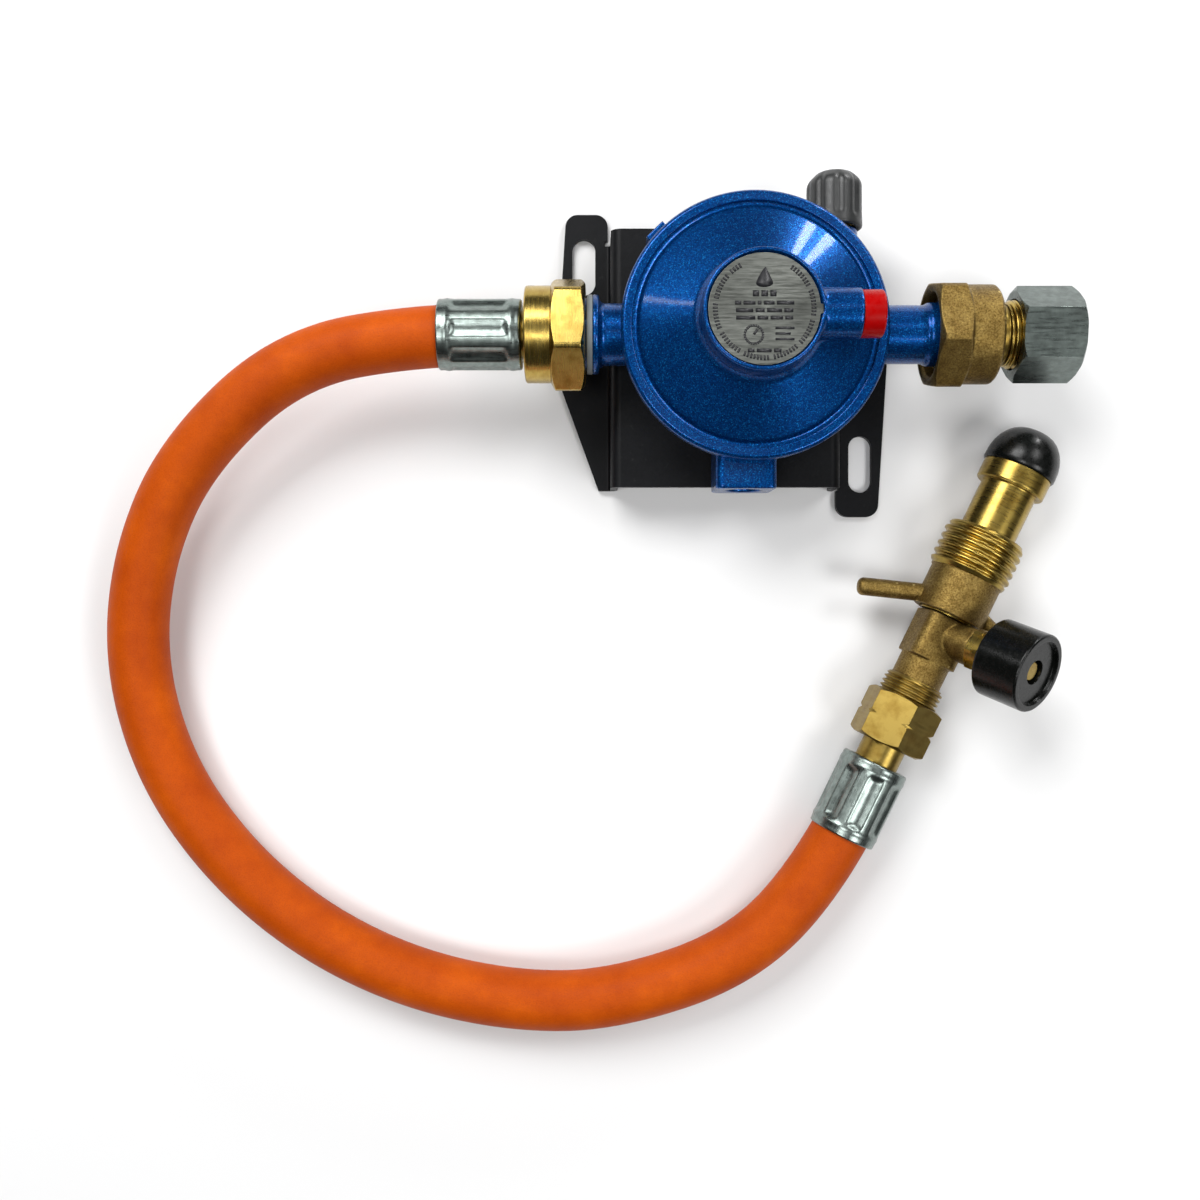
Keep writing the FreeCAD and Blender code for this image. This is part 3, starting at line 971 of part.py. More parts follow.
def reset_button():
    """The side port's bonnet, with the sprung knob that reopens the flow valve."""
    shank = turned("bonnet_turned", [
        ("0", "side_socket_start + snug"),
        ("side_socket_r - snug", "side_socket_start + snug"),
        ("side_socket_r - snug", "side_neck_end"), ("bonnet_r", "side_neck_end"),
        ("bonnet_r", "bonnet_end"), ("0", "bonnet_end")])
    ring = hexagon("bonnet_hex", "bonnet_flats", "side_neck_end", "bonnet_hex_end")
    bore = turned("bonnet_bore", [
        ("0", "0"), ("push_stem_r + snug", "0"), ("push_stem_r + snug", "bonnet_chamber"),
        ("bonnet_chamber_r", "bonnet_chamber"), ("bonnet_chamber_r", "bonnet_end + past"),
        ("0", "bonnet_end + past")])
    keep("reset_bonnet", cut("bonnet_cut", fuse("bonnet_blank", shank, ring), bore),
         side_frame())
    keep("reset_stem", turned("push_stem", [
        ("0", "push_stem_start"), ("push_stem_r", "push_stem_start"),
        ("push_stem_r", "push_stem_end"), ("knob_screw_shank_r", "push_stem_end"),
        ("knob_screw_shank_r", "knob_screw_shank"), ("0", "knob_screw_shank")]),
        side_frame())
    keep("reset_knob", turned("knob_turned", [
        ("push_stem_r", "knob_hollow_end"), ("knob_hollow_r", "knob_hollow_end"),
        ("knob_hollow_r", "knob_start"), ("knob_r - edge_break", "knob_start"),
        ("knob_r", "knob_start + edge_break"), ("knob_r", "knob_end - edge_break"),
        ("knob_r - edge_break", "knob_end"), ("knob_face_r", "knob_end"),
        ("knob_face_r", "knob_face"), ("knob_hole_r", "knob_face"),
        ("knob_hole_r", "knob_web_end"), ("push_stem_r", "knob_web_end")]), side_frame())
    keep("reset_screw", turned("knob_screw", [
        ("0", "knob_screw_shank"), ("knob_screw_shank_r", "knob_screw_shank"),
        ("knob_screw_shank_r", "knob_web_end"), ("knob_screw_r", "knob_web_end"),
        ("knob_screw_r", "knob_screw_end - edge_break"),
        ("knob_screw_r - edge_break", "knob_screw_end"), ("0", "knob_screw_end")]),
        side_frame())
    spring("reset_spring", "push_spring_r", "push_wire", "push_pitch",
           "push_spring_start", "push_spring_end", side_frame())


def flow_limiter():
    """The poppet that shuts when the flow is too great, and the spring that holds it open."""
    keep("flow_poppet", turned("poppet_turned", [
        ("0", "poppet_start"), ("poppet_nose_r", "poppet_start"),
        ("poppet_nose_r", "poppet_cone"), ("poppet_r", "poppet_land"),
        ("poppet_r", "poppet_end"), ("0", "poppet_end")]), connector_frame())
    spring("flow_spring", "flow_spring_r", "flow_wire", "flow_pitch",
           "flow_spring_start", "flow_spring_end", connector_frame())


def check_and_export():
    """Stop if any object failed, then write one file per sub-part."""
    doc.recompute()
    for thing in doc.Objects:
        if "Invalid" in thing.State or "Error" in thing.State:
            raise RuntimeError(f"{thing.Label} ({thing.Name}) failed: {thing.State}")
    os.makedirs("parts", exist_ok=True)
    for thing in subparts:
        shape = thing.Shape
        if shape.isNull() or not shape.isValid() or not shape.Solids:
            raise RuntimeError(f"{thing.Label} has no valid solid")
        shape.exportStep(f"parts/{thing.Label}.step")
    print(len(subparts), "sub-parts,", sum(len(t.Shape.Solids) for t in subparts), "solids")


mounting_bracket()
bracket_screws()
regulator_body()
regulator_cover()
regulator_top()
diaphragm_stack()
jet_and_lever()
side_fittings()
inlet_fittings()
hose()
outlet_fittings()
connector_hose_end()
valve_body()
spigot_and_nose()
pol_nut()
reset_button()
flow_limiter()
check_and_export()
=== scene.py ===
"""The looks of the caravan gas regulator, its bracket, hose and cylinder connector.

Metres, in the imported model's frame: +X along the gas line, +Z up from the surface it lies on.
Plain parts are copies of CAD nodes with their edges rounded.  Castings are copies remeshed with
soft corners.  Threads, flutes, the label's print and the hose are made here.
"""

import bmesh
import bpy
import json
import math
from collections import namedtuple
from mathutils import Matrix, Vector
from mathutils.geometry import tessellate_polygon


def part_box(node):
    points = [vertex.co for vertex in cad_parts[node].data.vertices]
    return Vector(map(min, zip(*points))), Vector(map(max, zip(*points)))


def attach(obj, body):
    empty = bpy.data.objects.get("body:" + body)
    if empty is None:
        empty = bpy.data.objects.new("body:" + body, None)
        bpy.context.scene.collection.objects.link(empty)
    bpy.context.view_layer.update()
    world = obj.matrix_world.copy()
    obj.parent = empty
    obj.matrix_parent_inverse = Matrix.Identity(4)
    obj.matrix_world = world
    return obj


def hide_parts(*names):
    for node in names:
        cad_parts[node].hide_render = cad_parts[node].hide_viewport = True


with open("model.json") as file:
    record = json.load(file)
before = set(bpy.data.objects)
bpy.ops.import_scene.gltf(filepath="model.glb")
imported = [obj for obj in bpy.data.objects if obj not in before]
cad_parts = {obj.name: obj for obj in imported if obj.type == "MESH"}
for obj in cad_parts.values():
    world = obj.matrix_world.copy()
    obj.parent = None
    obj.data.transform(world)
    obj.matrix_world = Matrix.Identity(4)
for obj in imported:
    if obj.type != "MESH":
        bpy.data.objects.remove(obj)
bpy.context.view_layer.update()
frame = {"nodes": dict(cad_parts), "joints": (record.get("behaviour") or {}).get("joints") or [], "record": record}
MM = 0.001

# The number of facets round a turned piece.
AROUND = 96

# The control points of the hose's centreline, which a quadratic spline follows.
HOSE_ROUTE_MM = [
    (-69.7, 1.95, 26.0), (-88.8, 1.95, 26.0), (-124.2, -3.9, 23.9), (-152.9, -29.1, 18.9),
    (-166.2, -55.3, 14.5), (-170.1, -85.1, 11.2), (-162.4, -115.2, 9.2),
    (-145.4, -140.3, 8.4), (-122.6, -160.0, 8.3), (-95.3, -173.6, 8.4),
    (-65.3, -180.3, 8.3), (-37.4, -179.8, 8.5), (-1.5, -167.3, 9.9), (20.7, -142.3, 11.5),
    (30.5, -122.3, 11.5),
]
HOSE_DIAMETER = 16.3 * MM

# Screw threads in millimetres: where each starts and ends along its own line, its radii at the
# crests, at the roots and of the casting under it, and its pitch.
Screw = namedtuple("Screw", "start end crest root under pitch")
BODY_SCREW = Screw(50.0, 57.7, 10.6, 9.65, 9.6, 1.5)
TAIL_SCREW = Screw(67.1, 80.0, 9.0, 8.1, 8.15, 1.5)
VALVE_SCREW = Screw(33.7, 47.0, 8.33, 7.5, 7.3, 1.337)
CYLINDER_SCREW = Screw(79.0, 92.0, 11.17, 10.25, 10.1, 2.3)
RIGHT_HAND, LEFT_HAND = 1, -1

BRIGHT_BRASS = (0.47, 0.335, 0.085)
STEM_BRASS = (0.37, 0.262, 0.062)
SATIN_BRASS = (0.29, 0.203, 0.050)

# How many times longer the marks of each finish are, along the axes of the frame they follow.
TOOL_MARK = (10, 10, 1)
DRAWN_LINE = (1, 1, 12)
BRUSHED_LINE = (12, 1, 1)


# ---------------------------------------------------------------- places in the frame

def middle(node):
    low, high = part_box(node)
    return (low + high) / 2


def placed(origin, along, aside=Vector((0, 0, 1))):
    """A frame whose Z runs along a line and whose X is as near as it can be to aside."""
    z = Vector(along).normalized()
    x = (aside - z * aside.dot(z)).normalized()
    y = z.cross(x)
    turn = Matrix((x, y, z)).transposed()
    return Matrix.Translation(origin) @ turn.to_4x4()


def mount(name):
    return next(m for m in frame["record"]["mounts"] if m["name"] == name)


def joint(name):
    return next(j for j in frame["joints"] if j["name"] == name)


REGULATOR_AXIS = middle("crimp_ring")
REGULATOR_AXIS.z = 0.0
PORT = Vector((REGULATOR_AXIS.x, REGULATOR_AXIS.y, middle("compression_nut").z))
REGULATOR = Matrix.Translation(REGULATOR_AXIS)
INLET = placed(PORT, (-1, 0, 0))
OUTLET = placed(PORT, (1, 0, 0))
CONNECTOR_WAY = Vector(mount("cylinder_thread")["axis"])
CONNECTOR = placed(Vector(mount("cylinder_thread")["pos_m"]), CONNECTOR_WAY)
TEST_POINT = placed(middle("test_cap"), (0, 1, 0))
SIDE_PORT = placed(middle("reset_bonnet"), -Vector(joint("reset_push")["axis"]))


def span(node, place):
    """The lowest and highest station of a CAD node along a frame's Z."""
    back = place.inverted()
    stations = [(back @ v.co).z for v in frame["nodes"][node].data.vertices]
    return min(stations), max(stations)


def reach(node, place):
    """The greatest radius of a CAD node about a frame's Z."""
    back = place.inverted()
    points = [back @ v.co for v in frame["nodes"][node].data.vertices]
    return max(math.hypot(p.x, p.y) for p in points)


# ---------------------------------------------------------------- shader helpers

class Paint:
    """A material's node tree, built up by short calls."""

    def __init__(self, name, color, metallic=0.0, roughness=0.5, **sockets):
        self.material = bpy.data.materials.new(name)
        self.material.use_nodes = True
        self.tree = self.material.node_tree
        self.shader = self.tree.nodes["Principled BSDF"]
        self.shader.inputs["Base Color"].default_value = (*color, 1)
        self.shader.inputs["Metallic"].default_value = metallic
        self.shader.inputs["Roughness"].default_value = roughness
        for socket, value in sockets.items():
            self.shader.inputs[socket.replace("_", " ")].default_value = value
        self.place = self.node("ShaderNodeTexCoord").outputs["Object"]
        self.height = None

    def node(self, kind, **settings):
        made = self.tree.nodes.new(kind)
        for key, value in settings.items():
            setattr(made, key, value)
        return made

    def link(self, source, target):
        self.tree.links.new(source, target)

    def stretched(self, longer, frame_matrix):
        """Coordinates drawn out by these factors along a frame's own axes."""
        mapping = self.node("ShaderNodeMapping", vector_type="TEXTURE")
        self.link(self.place, mapping.inputs["Vector"])
        mapping.inputs["Location"].default_value = frame_matrix.to_translation()
        mapping.inputs["Rotation"].default_value = frame_matrix.to_euler()
        mapping.inputs["Scale"].default_value = longer
        return mapping.outputs["Vector"]

    def noise(self, size, detail=3.0, roughness=0.55, longer=None, along=None):
        """Soft noise whose lumps are about this size, in metres."""
        made = self.node("ShaderNodeTexNoise")
        where = self.stretched(longer, along) if longer else self.place
        self.link(where, made.inputs["Vector"])
        made.inputs["Scale"].default_value = 1 / size
        made.inputs["Detail"].default_value = detail
        made.inputs["Roughness"].default_value = roughness
        return made.outputs["Fac"]

    def cells(self, size, output="Distance"):
        made = self.node("ShaderNodeTexVoronoi")
        self.link(self.place, made.inputs["Vector"])
        made.inputs["Scale"].default_value = 1 / size
        return made.outputs[output]

    def math(self, how, first, second):
        made = self.node("ShaderNodeMath", operation=how)
        for socket, value in zip(made.inputs, (first, second)):
            if isinstance(value, (int, float)):
                socket.default_value = value
            else:
                self.link(value, socket)
        return made.outputs[0]

    def ramp(self, source, stops):
        """Colours by value: stops of (position, colour)."""
        made = self.node("ShaderNodeValToRGB")
        self.link(source, made.inputs["Fac"])
        elements = made.color_ramp.elements
        while len(elements) < len(stops):
            elements.new(0.5)
        for element, (position, color) in zip(elements, stops):
            element.position = position
            element.color = (*color, 1)
        return made.outputs["Color"]

    def levels(self, source, low, high, to_low, to_high):
        made = self.node("ShaderNodeMapRange")
        self.link(source, made.inputs["Value"])
        for socket, value in zip(("From Min", "From Max", "To Min", "To Max"),
                                 (low, high, to_low, to_high)):
            made.inputs[socket].default_value = value
        return made.outputs["Result"]

    def mix(self, share, first, second, how="MIX"):
        made = self.node("ShaderNodeMix", data_type="RGBA", blend_type=how)
        for socket, value in zip((made.inputs[0], made.inputs[6], made.inputs[7]),
                                 (share, first, second)):
            if isinstance(value, (int, float)):
                socket.default_value = value
            elif isinstance(value, tuple):
                socket.default_value = (*value, 1)
            else:
                self.link(value, socket)
        return made.outputs[2]

    def color(self, source):
        self.link(source, self.shader.inputs["Base Color"])
        return self

    def rough(self, source):
        self.link(source, self.shader.inputs["Roughness"])
        return self

    def bump(self, source, depth, strength=1.0):
        """Raise the surface by up to depth metres where source is high; calls add up."""
        made = self.node("ShaderNodeBump")
        made.inputs["Strength"].default_value = strength
        made.inputs["Distance"].default_value = depth
        self.link(source, made.inputs["Height"])
        if self.height is not None:
            self.link(self.height, made.inputs["Normal"])
        self.height = made.outputs["Normal"]
        self.link(self.height, self.shader.inputs["Normal"])
        return self

    def edge_wear(self):
        """High on convex edges, from how pointed the mesh is there."""
        return self.levels(self.node("ShaderNodeNewGeometry").outputs["Pointiness"],
                           0.52, 0.6, 0.0, 1.0)


def blue_paint():
    """Metallic blue enamel: fine flakes under a clear coat with a slight orange peel."""
    paint = Paint("blue_paint", (0.0005, 0.05, 0.2), 0.72, 0.30,
                  Coat_Weight=0.4, Coat_Roughness=0.08, Coat_IOR=1.35,
                  Specular_IOR_Level=0.12)
    flake = paint.cells(0.2 * MM, output="Color")
    value = paint.node("ShaderNodeSeparateColor")
    paint.link(flake, value.inputs["Color"])
    shade = paint.ramp(value.outputs["Red"], [
        (0.0, (0.0001, 0.026, 0.125)), (0.6, (0.0002, 0.045, 0.205)),
        (0.9, (0.0006, 0.085, 0.33)), (1.0, (0.01, 0.22, 0.60))])
    drift = paint.ramp(paint.noise(9 * MM), [(0.3, (0.84, 0.88, 0.92)), (0.7, (1, 1, 1))])
    paint.color(paint.mix(1.0, shade, drift, "MULTIPLY"))
    paint.rough(paint.levels(value.outputs["Green"], 0, 1, 0.26, 0.40))
    paint.bump(paint.noise(1.6 * MM, 2.0), 0.03 * MM)
    return paint.bump(value.outputs["Blue"], 0.008 * MM, 0.4).material


def cast_brass():
    """Sand-cast brass: a grainy, browned skin that is rubbed brighter where it stands out."""
    paint = Paint("cast_brass", (0.5, 0.33, 0.13), 0.92, 0.45)
    grain = paint.noise(0.48 * MM, 4.0, 0.7)
    patina = paint.ramp(paint.noise(3.2 * MM, 5.0, 0.6), [
        (0.28, (0.16, 0.10, 0.025)), (0.5, (0.235, 0.155, 0.042)), (0.72, (0.31, 0.215, 0.065))])
    speckle = paint.ramp(grain, [(0.34, (0.42, 0.37, 0.30)), (0.58, (1, 1, 1)),
                                 (0.72, (1.3, 1.3, 1.2))])
    base = paint.mix(1.0, patina, speckle, "MULTIPLY")
    paint.color(paint.mix(paint.edge_wear(), base, (0.50, 0.37, 0.14)))
    paint.rough(paint.levels(grain, 0.3, 0.7, 0.58, 0.36))
    paint.bump(paint.cells(0.45 * MM), 0.05 * MM, 0.6)
    return paint.bump(grain, 0.13 * MM, 0.9).material


def turned_brass(name, color, roughness, axis):
    """Machined brass with fine tool marks round a frame's Z, and slight tarnish."""
    paint = Paint(name, color, 1.0, roughness)
    tarnish = paint.noise(4 * MM, 4.0, 0.6)
    dark = tuple(c * k for c, k in zip(color, (0.70, 0.62, 0.48)))
    paint.color(paint.ramp(tarnish, [(0.30, dark), (0.55, color), (0.8, color)]))
    marks = paint.noise(0.6 * MM, 3.0, 0.6, longer=TOOL_MARK, along=axis)
    paint.rough(paint.levels(marks, 0.3, 0.7, roughness * 0.85, roughness * 1.25))
    paint.bump(marks, 0.010 * MM, 0.5)
    return paint.bump(paint.noise(1.6 * MM), 0.006 * MM, 0.4).material


def zinc_plate(name, shade, axis):
    """Bright zinc plating with a bluish cast, faint drawing lines and cloudy patches."""
    color = (0.25 * shade, 0.295 * shade, 0.275 * shade)
    paint = Paint(name, color, 1.0, 0.30)
    cloud = paint.noise(2.2 * MM, 5.0, 0.62)
    paint.color(paint.ramp(cloud, [(0.25, tuple(c * 0.66 for c in color)), (0.5, color),
                                   (0.75, tuple(c * 1.4 for c in color))]))
    lines = paint.noise(0.6 * MM, 3.0, 0.6, longer=DRAWN_LINE, along=axis)
    paint.rough(paint.levels(lines, 0.3, 0.7, 0.24, 0.36))
    paint.bump(lines, 0.012 * MM, 0.5)
    return paint.bump(paint.noise(1.3 * MM), 0.012 * MM, 0.3).material


def steel():
    """Drawn or turned steel of the hidden parts."""
    paint = Paint("plain_steel", (0.46, 0.46, 0.48), 1.0, 0.34)
    marks = paint.noise(0.4 * MM, 2.0)
    paint.color(paint.ramp(marks, [(0.3, (0.36, 0.36, 0.38)), (0.7, (0.54, 0.54, 0.56))]))
    return paint.bump(marks, 0.01 * MM).material


def powder_coat():
    """Black powder coat with a fine orange peel and a little dust."""
    paint = Paint("black_powder_coat", (0.003, 0.003, 0.004), 0.0, 0.42, Specular_IOR_Level=0.15)
    peel = paint.noise(0.55 * MM, 2.0)
    base = paint.ramp(paint.noise(11 * MM, 3.0), [
        (0.3, (0.0020, 0.0023, 0.0030)), (0.7, (0.004, 0.0044, 0.0056))])
    dust = paint.levels(paint.noise(2.2 * MM, 6.0, 0.7), 0.60, 0.80, 0.0, 0.25)
    paint.color(paint.mix(dust, base, (0.05, 0.05, 0.05)))
    paint.rough(paint.levels(peel, 0.3, 0.7, 0.34, 0.5))
    return paint.bump(peel, 0.035 * MM, 0.8).material


def brushed_aluminium():
    """The label's disc, brushed one way."""
    paint = Paint("brushed_aluminium", (0.16, 0.165, 0.155), 1.0, 0.38, Anisotropic=0.5)
    brushed = paint.noise(0.4 * MM, 4.0, 0.7, longer=BRUSHED_LINE, along=REGULATOR)
    paint.color(paint.ramp(brushed, [(0.25, (0.095, 0.10, 0.09)), (0.75, (0.22, 0.23, 0.21))]))
    paint.rough(paint.levels(brushed, 0.3, 0.7, 0.30, 0.50))
    return paint.bump(brushed, 0.006 * MM).material


def moulded(name, color, roughness, grain=0.0, **sockets):
    """Moulded plastic or rubber: even colour, slight gloss changes, and a fine grain."""
    paint = Paint(name, color, 0.0, roughness, **sockets)
    drift = paint.noise(6 * MM, 4.0)
    darker = tuple(c * 0.82 for c in color)
    paint.color(paint.ramp(drift, [(0.3, darker), (0.7, color)]))
    paint.rough(paint.levels(paint.noise(1.2 * MM, 4.0), 0.3, 0.7, roughness * 0.8,
                             roughness * 1.3))
    paint.bump(paint.noise(0.3 * MM, 2.0), (0.008 + grain) * MM, 0.8)
    return paint.bump(drift, 0.01 * MM, 0.3).material


def hose_rubber():
    """Orange rubber with the fine cloth marks left by its wrapping, and a few scuffs."""
    paint = Paint("hose_rubber", (0.48, 0.070, 0.0004), 0.0, 0.5, Specular_IOR_Level=0.10)
    weave = paint.cells(0.55 * MM)
    grain = paint.noise(0.28 * MM, 3.0, 0.6)
    cloud = paint.ramp(paint.noise(14 * MM, 4.0, 0.6), [
        (0.3, (0.41, 0.054, 0.0002)), (0.55, (0.49, 0.072, 0.0004)),
        (0.8, (0.60, 0.100, 0.0010))])
    speck = paint.ramp(grain, [(0.28, (0.78, 0.74, 0.7)), (0.55, (1, 1, 1))])
    scuffs = paint.levels(paint.noise(3.5 * MM, 6.0, 0.7), 0.70, 0.78, 0.0, 0.35)
    base = paint.mix(1.0, cloud, speck, "MULTIPLY")
    paint.color(paint.mix(scuffs, base, (0.16, 0.022, 0.003)))
    paint.rough(paint.levels(grain, 0.3, 0.7, 0.42, 0.6))
    paint.bump(weave, 0.06 * MM, 0.6)
    return paint.bump(grain, 0.07 * MM, 0.8).material


# ---------------------------------------------------------------- mesh helpers

def new_piece(name, mesh, material, body, replaced=(), crease=32):
    """Put a mesh in the scene as a piece that rides on a body."""
    piece = bpy.data.objects.new(name, mesh)
    bpy.context.scene.collection.objects.link(piece)
    mesh.materials.clear()
    mesh.materials.append(material)
    mesh.shade_smooth()
    if crease:
        mesh.set_sharp_from_angle(angle=math.radians(crease))
    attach(piece, body)
    if replaced:
        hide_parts(*replaced)
    return piece


def mesh_of(name, vertices, faces):
    mesh = bpy.data.meshes.new(name)
    mesh.from_pydata([tuple(v) for v in vertices], [], faces)
    mesh.update()
    return mesh


def rounded_outline(corners, size, steps=3):
    """The closed outline with each corner turned into a small curve."""
    out = []
    count = len(corners)
    for i, corner in enumerate(corners):
        here = Vector(corner)
        before = Vector(corners[i - 1]) - here
        after = Vector(corners[(i + 1) % count]) - here
        cut = min(size, before.length * 0.4, after.length * 0.4)
        if here.x < 1e-7 or cut < 1e-7:
            out.append(here)
            continue
        first = here + before.normalized() * cut
        last = here + after.normalized() * cut
        for step in range(steps + 1):
            share = step / steps
            out.append(first * (1 - share) ** 2 + here * 2 * share * (1 - share)
                       + last * share ** 2)
    return out


def finer(outline, step, low, high):
    """The closed outline with extra points between two stations, for threads and flutes."""
    out = []
    count = len(outline)
    for i, start in enumerate(outline):
        end = outline[(i + 1) % count]
        out.append(start)
        inside = low - 1e-9 <= min(start.y, end.y) and max(start.y, end.y) <= high + 1e-9
        parts = int(abs(end.y - start.y) / step) if inside else 1
        for part in range(1, parts):
            out.append(start.lerp(end, part / parts))
    return out


def revolved(name, outline, place, around=AROUND, shape=None):
    """A mesh turned from a closed outline; shape(angle, radius, station) gives the radius."""
    vertices, faces = [], []
    count = len(outline)
    for i in range(around):
        angle = 2 * math.pi * i / around
        for point in outline:
            radius = shape(angle, point.x, point.y) if shape else point.x
            vertices.append(place @ Vector((radius * math.cos(angle),
                                            radius * math.sin(angle), point.y)))
    for i in range(around):
        after = (i + 1) % around
        for j in range(count):
            k = (j + 1) % count
            if outline[j].x < 1e-7 and outline[k].x < 1e-7:
                continue
            faces.append((i * count + j, after * count + j, after * count + k,
                          i * count + k))
    mesh = mesh_of(name, vertices, faces)
    tidy = bmesh.new()
    tidy.from_mesh(mesh)
    bmesh.ops.remove_doubles(tidy, verts=tidy.verts, dist=1e-7)
    bmesh.ops.recalc_face_normals(tidy, faces=tidy.faces)
    tidy.to_mesh(mesh)
    tidy.free()
    return mesh


def copied(node):
    """A welded copy of a CAD node, with its flat faces in one piece."""
    work = bmesh.new()
    work.from_mesh(frame["nodes"][node].data)
    bmesh.ops.remove_doubles(work, verts=work.verts, dist=1e-6)
    bmesh.ops.dissolve_limit(work, angle_limit=math.radians(0.5), verts=work.verts,
                             edges=work.edges)
    return work


def round_edges(work, width):
    sharp = [e for e in work.edges if len(e.link_faces) == 2
             and e.calc_face_angle(0) > math.radians(30)]
    bmesh.ops.bevel(work, geom=sharp, offset=width, offset_type="OFFSET", segments=2,
                    profile=0.5, affect="EDGES", clamp_overlap=True)


def machined(node, material, width=0.25, body="regulator"):
    """A CAD node's copy with its edges broken, as a machined or moulded part has them."""
    work = copied(node)
    round_edges(work, width * MM)
    mesh = bpy.data.meshes.new(node + "_finished")
    work.to_mesh(mesh)
    work.free()
    piece = new_piece(node + "_finished", mesh, material, body, (node,))
    return flat_faces_stay_flat(piece)


def flat_faces_stay_flat(piece):
    """Let the large faces set the shading, so that only the broken edges look round."""
    weighted = piece.modifiers.new("weighted", "WEIGHTED_NORMAL")
    weighted.mode = "FACE_AREA"
    weighted.keep_sharp = True
    return piece


def cast(node, material, voxel, body="regulator", smooth=4, necked=()):
    """A CAD node's copy with the soft corners of a casting.

    Each item of necked is (frame, low, high, radius): a stretch turned down to that radius,
    so that a separate thread can stand there.
    """
    work = copied(node)
    for place, low, high, radius in necked:
        turn_down(work, place, low, high, radius)
    mesh = bpy.data.meshes.new(node + "_cast")
    work.to_mesh(mesh)
    work.free()
    piece = bpy.data.objects.new(node + "_cast", mesh)
    bpy.context.scene.collection.objects.link(piece)
    remesh = piece.modifiers.new("soft_skin", "REMESH")
    remesh.mode = "VOXEL"
    remesh.voxel_size = voxel * MM
    soften = piece.modifiers.new("soften", "SMOOTH")
    soften.factor = 0.5
    soften.iterations = smooth
    done = bpy.data.meshes.new_from_object(
        piece.evaluated_get(bpy.context.evaluated_depsgraph_get()))
    bpy.data.objects.remove(piece)
    return new_piece(node + "_cast", done, material, body, (node,), crease=0)


def under_screw(place, screw, base=0.0, before=-0.01, after=0.01):
    """The stretch of a casting that is turned down where a thread stands, for cast()."""
    return (place, base + (screw.start + before) * MM, base + (screw.end + after) * MM,
            screw.under * MM)


def turn_down(work, place, low, high, radius):
    back = place.inverted()
    for vertex in work.verts:
        local = back @ vertex.co
        from_axis = math.hypot(local.x, local.y)
        if low <= local.z <= high and from_axis > radius:
            local.x *= radius / from_axis
            local.y *= radius / from_axis
            vertex.co = place @ local


def thread(name, place, screw, material, body="regulator", base=0.0, hand=RIGHT_HAND):
    """A screw thread's outside, with lead-in chamfers, on a sleeve under its roots."""
    start, end = base + screw.start * MM, base + screw.end * MM
    crest, root, pitch = screw.crest * MM, screw.root * MM, screw.pitch * MM
    inner = root - 0.5 * MM
    outline = [Vector((inner, start)), Vector((crest, start)), Vector((crest, end)),
               Vector((inner, end))]
    outline = finer(outline, pitch / 12, start, end)
    depth = crest - root

    def profile(angle, radius, station):
        if radius < crest - 1e-9:
            return radius
        phase = (station / pitch - hand * angle / (2 * math.pi)) % 1.0
        tooth = 0.5 - 0.5 * math.cos(math.pi * min(1.0, max(0.0, (
            abs(phase - 0.5) * 2 - 0.15) / 0.75)))
        lead = min(1.0, min(station - start, end - station) / (pitch * 0.75))
        return crest - depth * max(tooth, 1 - lead)

    mesh = revolved(name, outline, place, shape=profile)
    return new_piece(name, mesh, material, body, crease=0)


# ---------------------------------------------------------------- camera and hose

def camera():
    """Straight down on the middle of the picture, from the height that gives its perspective."""
    view = bpy.data.cameras.new("camera")
    view.lens = 37.8
    view.sensor_width = 36
    view.clip_start = 0.01
    holder = bpy.data.objects.new("camera", view)
    holder.location = (REGULATOR_AXIS.x - 39.7 * MM, REGULATOR_AXIS.y - 70.3 * MM, 0.36)
    bpy.context.scene.collection.objects.link(holder)
    bpy.context.scene.camera = holder


def hose():
    curve = bpy.data.curves.new("hose_cover", "CURVE")
    curve.dimensions = "3D"
    curve.bevel_depth = HOSE_DIAMETER / 2
    curve.bevel_resolution = 14
    curve.use_fill_caps = True
    line = curve.splines.new("NURBS")
    line.points.add(len(HOSE_ROUTE_MM) - 1)
    for point, at in zip(line.points, HOSE_ROUTE_MM):
        point.co = (*(c * MM for c in at), 1)
    line.order_u = 3
    line.use_endpoint_u = True
    line.resolution_u = 24
    curve.materials.append(hose_rubber())
    piece = bpy.data.objects.new("hose_cover", curve)
    bpy.context.scene.collection.objects.link(piece)
    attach(piece, "regulator")
    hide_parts("hose")
    return piece


# ---------------------------------------------------------------- pieces

